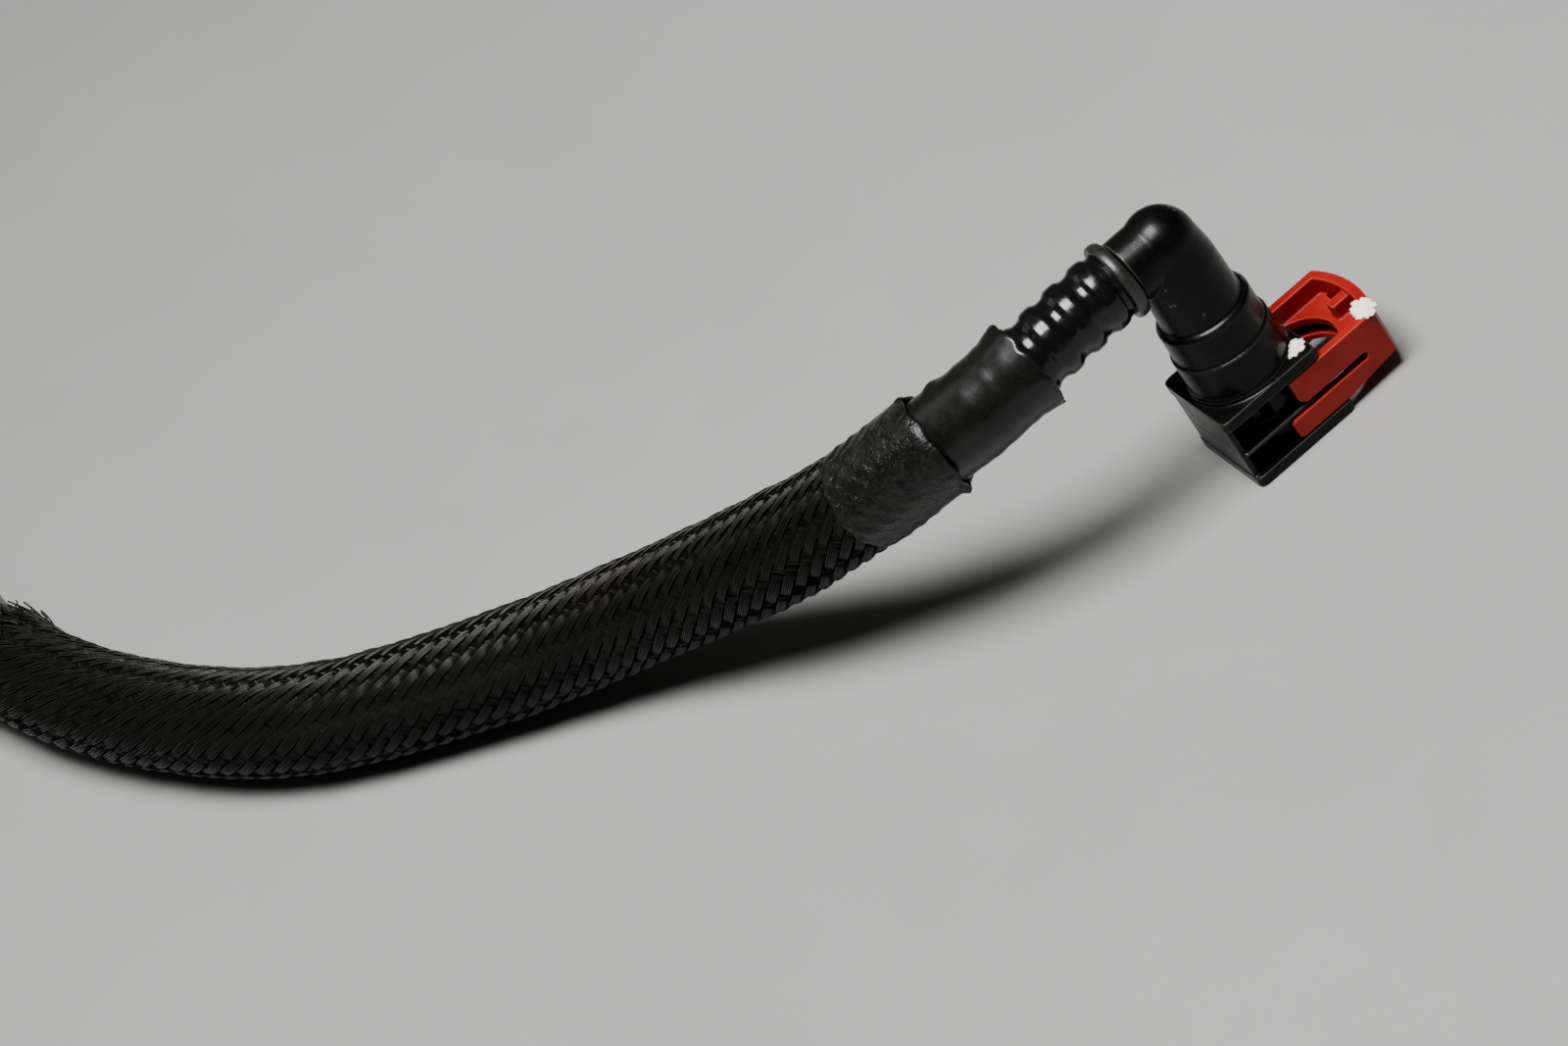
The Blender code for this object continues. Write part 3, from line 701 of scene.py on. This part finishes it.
def addLining(sides=96, step=0.0012):
    turns = np.linspace(0, math.tau, sides, endpoint=False)
    out = np.arange(braid["start"], hoseLength - braid["freeEnd"] - braid["liningEnds"], step)
    spots, angles = np.meshgrid(out, turns, indexing="ij")
    radii = sleeveRadius(spots, angles) - braid["lining"]
    inner = np.full(radii.shape, braid["liningBore"])
    inner = np.minimum(inner, radii[::-1] - 0.0002)
    made = shellAlongHose("sleeveLining", np.concatenate([spots, spots[::-1]]),
                          np.concatenate([radii, inner]), sides)
    return dressed(made, "hose", liningFinish(), "braid_polyester", "braided_sleeve")


def addBraid():
    # The second family gets a duller copy of the braid finish: a shaded copy of one material, on top of its
    # painted shade.
    finishes = {1: braidFinish("braidPolyester", 0.24), -1: braidFinish("braidPolyesterShaded", 0.04)}
    made = []
    half = braid["carriers"] // 2
    groups = (("One", range(0, half)), ("Two", range(half, braid["carriers"])))
    for wayName, way in (("Left", 1), ("Right", -1)):
        for groupName, carriers in groups:
            name = f"sleeveStrands{wayName}{groupName}"
            paths, outward, tonesAndShade, even = strandPaths(way, carriers)
            piece = strandMesh(name, paths, outward, braid["filamentRadius"], braid["sides"])
            spots = paths - linePoints(even)[None]
            across, lift = lineFrames(even)[1:]
            angle = np.arctan2((spots * lift).sum(-1), (spots * across).sum(-1))
            stain = mound(even - braid["stainAt"], 0.005) * mound(angle - braid["stainAngle"], 0.17)
            setAttribute(piece, "strandToneAndShade", np.repeat(tonesAndShade.reshape(-1), braid["sides"]))
            setAttribute(piece, "stain", np.repeat(stain.reshape(-1), braid["sides"]))
            made.append(dressed(piece, "hose", finishes[way], "braid_polyester"))
    return made


sleeveStrands = [addLining(), *addBraid()]
print("braided sleeve made, faces:", [len(s.data.polygons) for s in sleeveStrands])


# Shrink cuff over the end of the braid

cuff = {
    "span": (0.0484, 0.0662),
    "skew": 0.0042,  # how far the front edge runs askew
    "skewAngle": 150,
    "torn": 0.0006,
    "radius": 0.0089,
    "lipRadius": 0.0085,
    "lipLength": 0.0012,
    "bore": 0.0079,
    "wall": 0.0006,
    "weave": 0.00016,  # the braid shows through
    "ridge": 0.00010,
    "nubs": ((0.0484, 62, 0.0006), (0.0486, 238, 0.0010), (0.0520, 96, 0.0002)),  # place, degrees, height
    "nubLength": 0.0008,
    "nubWidth": 0.0009,
    "sides": 144,
    "step": 0.00035,
}


def cuffFinish():
    finish = Finish("shrinkCuffRubber")
    blotch = finish.remap(finish.noise(330.0, 7.0, 0.68), 0.42, 0.68)
    rub = finish.remap(finish.noise(1100.0, 5.0, 0.7), 0.52, 0.7)
    colour = finish.blend(blotch, (0.0024, 0.0024, 0.0022), (0.0070, 0.0067, 0.0058))
    colour = finish.blend(rub, colour, (0.0135, 0.0130, 0.0113))
    rough = finish.remap(finish.noise(520.0, 5.0, 0.7), 0.3, 0.7, 0.18, 0.42)
    grain = finish.bump(finish.noise(1300.0, 3.0, 0.6), 0.00012, 0.6)
    normal = finish.bump(finish.noise(480.0, 4.0, 0.65), 0.0006, 0.9, grain)
    return finish.done(colour, rough, normal, Specular_IOR_Level=0.24)


def addCuff():
    turns = np.linspace(0, math.tau, cuff["sides"], endpoint=False)
    start, end = cuff["span"]
    out = np.arange(start, end, cuff["step"])
    spots, angles = np.meshgrid(out, turns, indexing="ij")
    torn = cuff["torn"] * ripple(turns, 31, 3, math.tau / 2)
    askew = cuff["skew"] * np.maximum(np.cos(turns - math.radians(cuff["skewAngle"])), 0)
    near = 1 - easeStep(spots, start, start + 0.012)
    shoulder = easeStep(spots, start, start + cuff["lipLength"])
    spots = spots + easeStep(spots, end - 0.004, end) * torn[None, :]
    spots = spots - near * (askew + 0.4 * torn[::-1])[None, :]
    radii = cuff["lipRadius"] + (cuff["radius"] - cuff["lipRadius"]) * shoulder
    underneath = easeStep(spots, start + 0.004, start + 0.010)
    rows = np.cos(braid["rows"] * (angles - math.radians(braid["rowAngle"])))
    weave = np.cos(braid["carriers"] * braidTurn(spots)) * rows
    radii = radii + underneath * (cuff["weave"] * weave + cuff["ridge"] * rows)
    radii = radii + 0.00005 * ripple(angles + spots * 60, 33, 3, math.tau)
    for place, degrees, height in cuff["nubs"]:
        sidewise = mound(arcTo(angles, degrees, cuff["radius"]), cuff["nubWidth"])
        radii = radii + height * mound(spots - place, cuff["nubLength"]) * sidewise
    radii = radii - 0.0004 * easeStep(spots, end - 0.0009, end)
    inner = np.maximum(radii - cuff["wall"], cuff["bore"])[::-1]
    made = shellAlongHose("shrinkCuff", np.concatenate([spots, spots[::-1]]),
                          np.concatenate([radii, inner]), cuff["sides"])
    return dressed(made, "hose", cuffFinish(), "cuff_rubber", "shrink_cuff")


shrinkCuff = addCuff()
print("shrink cuff made")

# Elbow body

elbow = {
    "cornerZ": 0.0425,
    "dome": 0.0062,
    "leg": 0.0071,
    "legZ": 0.0284,
    "upperBody": 0.0082,
    "upperBodyZ": 0.0222,
    "lowerBody": 0.0087,
    "lip": 0.0091,
    "halfX": housingHalf,
    "halfY": 0.0096,
    "housingTop": 0.0146,
    "flangeTop": 0.002,
    "plateFoot": 0.0126,
    "plateEndX": 0.0095,
    "wallX": -0.0088,
    "core": 0.0073,
    "railZ": (0.00625, 0.00695),
    "railX": (-0.0094, 0.0055),
    "railHalfY": 0.0091,
    "windowX": (-0.0064, -0.001),
    "windowZ": (0.0078, 0.0118),
    "cornerRound": 0.0011,
    "retainerBore": 0.0061,
    "sealBore": 0.006,
    "sealFoot": 0.0132,
    "sealSeat": 0.0245,
    "pipeBore": 0.0041,
    "pipeSeat": 0.033,
    "passage": 0.0025,
    "crossPassage": 0.0022,
    "chamfer": 0.0008,
    "neck": 0.0057,
    "neckEnd": 0.0073,
    "stem": 0.0037,
    "stemRoot": 0.0033,
    "stemEnd": 0.017,
    "barbs": 2,
    "barbPitch": 0.0042,
    "voxel": 0.0002,
    "softening": 3,
}


def elbowMesh(e):
    dome = [
        (e["dome"] * math.cos(angle), e["cornerZ"] + e["dome"] * math.sin(angle))
        for angle in np.linspace(0, math.pi / 2, 24)[:-1]
    ]
    shell = [
        (0, e["housingTop"] - 0.001),
        (e["lowerBody"], e["housingTop"] - 0.001),
        (e["lowerBody"], e["housingTop"] + 0.0001),
        (e["lip"], e["housingTop"] + 0.0002),
        (e["lip"], e["housingTop"] + 0.0007),
        (e["lowerBody"], e["housingTop"] + 0.0010),
        (e["lowerBody"], e["upperBodyZ"] - 0.0002),
        (e["upperBody"], e["upperBodyZ"] + 0.0001),
        (e["upperBody"], e["legZ"] - 0.0006),
        (e["upperBody"] - 0.0006, e["legZ"] + 0.0001),
        (e["leg"], e["legZ"] + 0.0003),
        (e["leg"] - 0.0002, e["cornerZ"] - 0.005),
        *dome,
        (0, e["cornerZ"] + e["dome"]),
    ]
    neck = [(0, 0), (e["neck"], 0), (e["neck"], e["neckEnd"]), (e["stem"], e["neckEnd"])]
    for barb in range(e["barbs"]):
        start = e["neckEnd"] + 0.0006 + barb * e["barbPitch"]
        neck += [(e["stemRoot"], start), (e["stem"], start + 0.3 * e["barbPitch"])]
        neck += [(e["stemRoot"], start + 0.95 * e["barbPitch"])]
    neck += [(e["stemRoot"] - 0.0003, e["stemEnd"]), (0, e["stemEnd"])]
    chamfer = e["chamfer"]
    socket = [
        (0, -chamfer),
        (e["retainerBore"] + 2 * chamfer, -chamfer),
        (e["retainerBore"], chamfer),
        (e["retainerBore"], e["sealFoot"]),
        (e["sealBore"], e["sealFoot"]),
        (e["sealBore"], e["sealSeat"]),
        (e["pipeBore"], e["sealSeat"]),
        (e["pipeBore"], e["pipeSeat"]),
        (e["passage"], e["pipeSeat"] + 0.001),
        (e["passage"], e["cornerZ"]),
        (0, e["cornerZ"] + 0.0006),
    ]
    bore, through = e["crossPassage"], 2 * e["stemEnd"]
    passage = [(0, 0), (bore, 0), (bore, through), (0, through)]
    halfX, halfY, cornerRound = e["halfX"], e["halfY"], e["cornerRound"]
    fullY, wallY = (-halfY, halfY), (-halfY + cornerRound, halfY - cornerRound)
    plateZ, wallZ = (e["plateFoot"], e["housingTop"]), (e["flangeTop"] / 2, e["housingTop"] - 0.001)
    flange = boxMesh("flange", (-halfX, halfX), fullY, (0, e["flangeTop"]), cornerRound)
    plate = boxMesh("plate", (-halfX, e["plateEndX"]), fullY, plateZ, cornerRound)
    wall = boxMesh("wall", (-halfX + 0.0002, e["wallX"]), wallY, wallZ)
    rails = boxMesh("rails", e["railX"], (-e["railHalfY"], e["railHalfY"]), e["railZ"], 0.0006)
    coreLow, coreHigh = 0.0007, e["plateFoot"] + 0.0005
    core = [(0, coreLow), (e["core"], coreLow), (e["core"], coreHigh), (0, coreHigh)]
    steps = [
        ("UNION", turnedMesh("core", core)),
        ("UNION", rails),
        ("UNION", wall),
        ("UNION", plate),
        ("UNION", turnedMesh("shell", shell)),
        ("UNION", turnedMesh("neck", neck, True)),
        ("DIFFERENCE", turnedMesh("socket", socket)),
        ("DIFFERENCE", turnedMesh("passage", passage, True, 40)),
        ("DIFFERENCE", boxMesh("window", e["windowX"], (-0.02, 0.02), e["windowZ"])),
    ]
    return mouldedMesh("elbowBody", flange, steps, e["voxel"], e["softening"])


def elbowFinish():
    finish = Finish("blackConnectorNylon")
    cloud = finish.remap(finish.noise(160.0, 5.0, 0.6), 0.42, 0.72)
    colour = finish.blend(cloud, (0.0010, 0.0010, 0.0010), (0.0024, 0.0023, 0.0020))
    film = finish.math("MULTIPLY", finish.remap(finish.noise(420.0, 6.0, 0.65), 0.45, 0.7), 0.2)
    colour = finish.blend(film, colour, (0.008, 0.0076, 0.0062))
    # Convex edges lightened from pointiness: partly edge wear, partly a painted highlight along the rounded
    # steps and lips.
    edgeWearAndGlint = finish.math("MULTIPLY", finish.edges(0.51, 0.58), 0.7)
    colour = finish.blend(edgeWearAndGlint, colour, (0.060, 0.057, 0.050))
    rough = finish.remap(finish.noise(520.0, 5.0, 0.65), 0.3, 0.72, 0.22, 0.36)
    grain = finish.bump(finish.noise(2400.0, 3.0), 0.00003, 0.5)
    normal = finish.bump(finish.noise(300.0, 2.0), 0.0001, 0.4, grain)
    return finish.done(colour, rough, normal, Specular_IOR_Level=0.14)


elbowBody = elbowMesh(elbow)
elbowNylon = elbowFinish()
for end, place in connectorEnds:
    body = elbowBody.copy()
    placed(f"{end}Elbow", body, place, "hose", elbowNylon, "connector_nylon", f"{end}_elbow_body")
print("elbow bodies made, faces:", len(elbowBody.polygons))


# Seals, bush, spacer, retainer and the collar on the tube

stack = {
    "ringCentre": 0.0048,
    "ringWire": 0.00095,
    "innerRingZ": 0.02325,
    "outerRingZ": 0.0187,
    "pieceR": (0.00415, 0.0057),
    "spacerZ": (0.01995, 0.022),
    "bushZ": (0.0135, 0.01745),
    "bushBrim": (0.0005, 0.0012),  # how far out, and how high
    "bushLeadIn": 0.0006,
    "retainerZ": (0.0032, 0.0131),
    "retainerR": 0.00575,
    "retainerVoxel": 0.00014,
    "collarR": (0.0057, 0.0071),
    "collarAt": (0.0077, 0.0099),
    "edge": 0.00025,
}


def roundedOutline(points, size, steps=4):  # a closed outline with every corner rounded
    corners = [Vector(p).to_2d() for p in points]
    made = []
    for i, corner in enumerate(corners):
        before = (corners[i - 1] - corner).normalized()
        after = (corners[(i + 1) % len(corners)] - corner).normalized()
        for k in range(steps + 1):
            t = k / steps
            made.append(tuple(corner + size * ((1 - t) ** 2 * before + t**2 * after)))
    return made


def plainFinish(name, first, second, rough, speck=900.0):
    finish = Finish(name)
    colour = finish.blend(finish.remap(finish.noise(speck, 5.0, 0.6), 0.4, 0.7), first, second)
    roughness = finish.remap(finish.noise(700.0, 4.0), 0.3, 0.7, rough - 0.07, rough + 0.08)
    return finish.done(colour, roughness, finish.bump(finish.noise(2200.0, 3.0), 0.00004, 0.5))


def ringProfile(height):
    turns = np.linspace(0, math.tau, 20, endpoint=False)
    centre, wire = stack["ringCentre"], stack["ringWire"]
    return [(centre + wire * math.cos(t), height + wire * math.sin(t)) for t in turns]


def bushProfile():
    inner, outer = stack["pieceR"]
    low, high = stack["bushZ"]
    brimOut, brimUp = stack["bushBrim"]
    points = [
        (inner + stack["bushLeadIn"], low),
        (outer, low),
        (outer, low + brimUp),
        (outer - brimOut, low + brimUp),
        (outer - brimOut, high),
        (inner, high),
        (inner, low + stack["bushLeadIn"]),
    ]
    return roundedOutline(points, 0.6 * stack["edge"])


def spacerProfile():
    inner, outer = stack["pieceR"]
    low, high = stack["spacerZ"]
    return roundedOutline([(inner, low), (outer, low), (outer, high), (inner, high)], stack["edge"])


def collarProfile():
    inner, outer = stack["collarR"]
    low, high = stack["collarAt"]
    points = [
        (inner, low),
        (outer - 0.0004, low),
        (outer, (low + high) / 2),
        (outer - 0.0002, high),
        (inner, high),
    ]
    return roundedOutline(points, 2 * stack["edge"])


def retainerMesh():  # a split ring with a step that snaps behind the pipe's bead
    outer = stack["retainerR"]
    low, high = stack["retainerZ"]
    profile = [
        (outer - 0.0003, low),
        (outer, low + 0.0004),
        (outer, high),
        (0.0045, high),
        (0.0045, 0.0092),
        (0.0052, 0.0089),
        (0.0052, 0.0068),
        (0.0043, 0.0066),
        (0.0043, 0.0052),
        (0.0053, low),
    ]
    gap = boxMesh("gap", (-0.0026, 0.0026), (-0.01, 0.01), (0, 0.0098))
    ring = turnedMesh("retainer", profile)
    return mouldedMesh("pipeRetainer", ring, [("DIFFERENCE", gap)], stack["retainerVoxel"], 2)


def addStack():
    ringRubber = plainFinish("sealRubber", (0.006, 0.006, 0.006), (0.013, 0.013, 0.012), 0.42)
    greyNylon = plainFinish("retainerNylon", (0.05, 0.05, 0.05), (0.075, 0.075, 0.072), 0.42)
    paleNylon = plainFinish("spacerNylon", (0.30, 0.30, 0.28), (0.38, 0.37, 0.34), 0.45)
    collarRubber = plainFinish("collarRubber", (0.0045, 0.0045, 0.0043), (0.014, 0.013, 0.0115), 0.38, 500.0)
    outerRing = turnedMesh("outerRing", ringProfile(stack["outerRingZ"]))
    innerRing = turnedMesh("innerRing", ringProfile(stack["innerRingZ"]))
    bush = turnedMesh("sealBush", bushProfile())
    spacer = turnedMesh("sealSpacer", spacerProfile())
    collar = turnedMesh("tubeCollar", collarProfile(), True)
    pieces = (
        ("OuterRing", "outer_o_ring", outerRing, ringRubber, "seal_rubber"),
        ("InnerRing", "inner_o_ring", innerRing, ringRubber, "seal_rubber"),
        ("SealBush", "seal_bush", bush, greyNylon, "spacer_nylon"),
        ("SealSpacer", "seal_spacer", spacer, paleNylon, "spacer_nylon"),
        ("Retainer", "pipe_retainer", retainerMesh(), greyNylon, "retainer_nylon"),
        ("Collar", "tube_collar", collar, collarRubber, "collar_rubber"),
    )
    for suffix, node, mesh, finish, slotName in pieces:
        mesh.shade_smooth()
        for end, place in connectorEnds:
            placed(end + suffix, mesh.copy(), place, "hose", finish, slotName, f"{end}_{node}")


addStack()
print("seals, retainers and collars made")


# Red lock slide

lock = {
    "halfY": 0.0095,
    "innerY": 0.00765,
    "top": 0.0123,
    "foot": 0.0023,
    "endFoot": 0.0036,
    "upperTipX": 0.0027,
    "lowerTipX": -0.0002,
    "slitZ": (0.00595, 0.00725),
    "slitEndX": 0.0153,
    "slopeX": 0.0105,
    "bowEndX": 0.0204,
    "bowApexX": 0.0226,
    "bowThick": 0.0018,
    "webZ": (0.0075, 0.009),
    "webX": 0.0105,
    "notchR": 0.00765,
    "notchX": 0.0085,
    "lowerWebZ": (0.0042, 0.0054),
    "eye": 0.00075,  # round end of the slit
    "ribX": 0.0173,
    "ribHalfY": 0.0011,
    "ribTop": 0.0117,
    "voxel": 0.00016,
    "softening": 4,
}


def lockMesh(k):
    low, high = k["slitZ"]
    leg = [
        (k["upperTipX"], k["top"]),
        (k["upperTipX"], high + 0.001),
        (k["upperTipX"] + 0.001, high),
        (k["slitEndX"], high),
        (k["slitEndX"], low),
        (k["lowerTipX"] + 0.0005, low),
        (k["lowerTipX"], low - 0.0005),
        (k["lowerTipX"], k["foot"] + 0.0005),
        (k["lowerTipX"] + 0.0005, k["foot"]),
        (k["slopeX"], k["foot"]),
        (k["bowEndX"] - 0.0003, k["endFoot"]),
        (k["bowEndX"] - 0.0003, k["top"]),
    ]
    swell = k["bowApexX"] - k["bowEndX"]
    bowR = (k["halfY"] ** 2 + swell**2) / (2 * swell)
    spread = math.asin(k["halfY"] / bowR)
    turns = np.linspace(-spread, spread, 25)
    centreX = k["bowApexX"] - bowR
    innerR = bowR - k["bowThick"]
    outer = [(centreX + bowR * math.cos(t), bowR * math.sin(t)) for t in turns]
    inner = [(centreX + innerR * math.cos(t), innerR * math.sin(t)) for t in turns[1:-1]]
    endX = k["bowEndX"] - k["bowThick"]
    bow = outer + [(endX, k["halfY"])] + inner[::-1] + [(endX, -k["halfY"])]
    halfNotch = math.acos((k["webX"] - k["notchX"]) / k["notchR"])
    notch = [
        (k["notchX"] + k["notchR"] * math.cos(t), k["notchR"] * math.sin(t))
        for t in np.linspace(halfNotch, -halfNotch, 25)
    ]
    side = k["innerY"] + 0.0004
    webEndX = k["bowEndX"] - 0.001
    web = [(k["webX"], -side), (webEndX, -side), (webEndX, side), (k["webX"], side)]
    ribX = (k["ribX"], k["bowApexX"] - k["bowThick"] / 2)
    rib = boxMesh("rib", ribX, (-k["ribHalfY"], k["ribHalfY"]), (k["webZ"][0] + 0.0004, k["ribTop"]))
    eye = turnedMesh("eye", [(0, -0.02), (k["eye"], -0.02), (k["eye"], 0.02), (0, 0.02)], sides=32)
    slitEnd = Matrix.Translation((k["slitEndX"], 0, (low + high) / 2))
    eye.transform(slitEnd @ Matrix.Rotation(math.pi / 2, 4, "X"))
    steps = [
        ("UNION", extrudedMesh("leg", leg, -k["halfY"], -k["innerY"], True)),
        ("UNION", extrudedMesh("leg", leg, k["innerY"], k["halfY"], True)),
        ("UNION", extrudedMesh("web", web + notch, *k["webZ"])),
        ("UNION", extrudedMesh("lowerWeb", web + notch, *k["lowerWebZ"])),
        ("UNION", rib),
        ("DIFFERENCE", eye),
    ]
    back = extrudedMesh("bow", bow, k["endFoot"], k["top"])
    return mouldedMesh("lockSlide", back, steps, k["voxel"], k["softening"])


def lockFinish():
    finish = Finish("redLockAcetal")
    fade = finish.remap(finish.noise(110.0, 4.0, 0.6), 0.38, 0.68)
    colour = finish.blend(fade, (0.17, 0.0030, 0.0016), (0.21, 0.0060, 0.0036))
    # Convex edges lightened from pointiness: partly worn acetal, partly a painted highlight along the edges.
    edgeWearAndGlint = finish.math("MULTIPLY", finish.edges(0.505, 0.56), 0.5)
    colour = finish.blend(edgeWearAndGlint, colour, (0.34, 0.026, 0.012))
    grime = finish.math("MULTIPLY", finish.remap(finish.noise(650.0, 6.0, 0.7), 0.56, 0.74), 0.5)
    colour = finish.blend(grime, colour, (0.055, 0.003, 0.002))
    # Painted shade: concave nooks darkened from pointiness.
    nookShade = finish.math("MULTIPLY", finish.edges(0.49, 0.42), 0.7)
    colour = finish.blend(nookShade, colour, (0.025, 0.0015, 0.0015))
    rough = finish.remap(finish.noise(480.0, 5.0, 0.6), 0.3, 0.7, 0.36, 0.52)
    normal = finish.bump(finish.noise(1500.0, 4.0), 0.00005, 0.6)
    return finish.done(colour, rough, normal, Specular_IOR_Level=0.2)


lockSlide = lockMesh(lock)
lockRed = lockFinish()
for end, place in connectorEnds:
    placed(f"{end}Lock", lockSlide.copy(), place, f"{end}_lock", lockRed, "lock_red", f"{end}_lock_slide")
print("lock slides made, faces:", len(lockSlide.polygons))


# Two dabs of marking paint

dabs = {
    "lock": {"centre": (0.0200, -0.0072, 0.0123), "size": (0.0021, 0.0026, 0.0006), "seed": 61},
    "housing": {"centre": (0.0072, -0.0062, 0.0146), "size": (0.0022, 0.0018, 0.0006), "seed": 62},
}


def dabMesh(name, settings):
    form = bmesh.new()
    bmesh.ops.create_uvsphere(form, u_segments=48, v_segments=24, radius=1)
    width, depth, height = settings["size"]
    for vert in form.verts:
        angle = math.atan2(vert.co.y, vert.co.x)
        edge = 1 + 0.16 * float(ripple(np.array([angle]), settings["seed"], 4, math.tau / 2)[0])
        slanting = np.array([vert.co.x * 3 + vert.co.y * 2])
        lump = 1 + 0.25 * float(ripple(slanting, settings["seed"] + 5, 3, 2.0)[0])
        vert.co = (vert.co.x * width * edge, vert.co.y * depth * edge, vert.co.z * height * lump)
    bmesh.ops.translate(form, vec=settings["centre"], verts=form.verts)
    mesh = finishedMesh(form, name)
    mesh.shade_smooth()
    return mesh


def dabFinish():
    finish = Finish("markingPaint")
    cloud = finish.remap(finish.noise(900.0, 5.0), 0.35, 0.7)
    colour = finish.blend(cloud, (0.80, 0.77, 0.69), (0.62, 0.57, 0.48))
    rough = finish.remap(finish.noise(600.0), 0.3, 0.7, 0.45, 0.65)
    return finish.done(colour, rough, finish.bump(finish.noise(1600.0), 0.0001, 0.6))


dabPaint = dabFinish()
placed("lockPaintDab", dabMesh("lockDab", dabs["lock"]), railPlace, "rail_lock", dabPaint, None)
placed("housingPaintDab", dabMesh("housingDab", dabs["housing"]), railPlace, "hose", dabPaint, None)
print("paint dabs made")
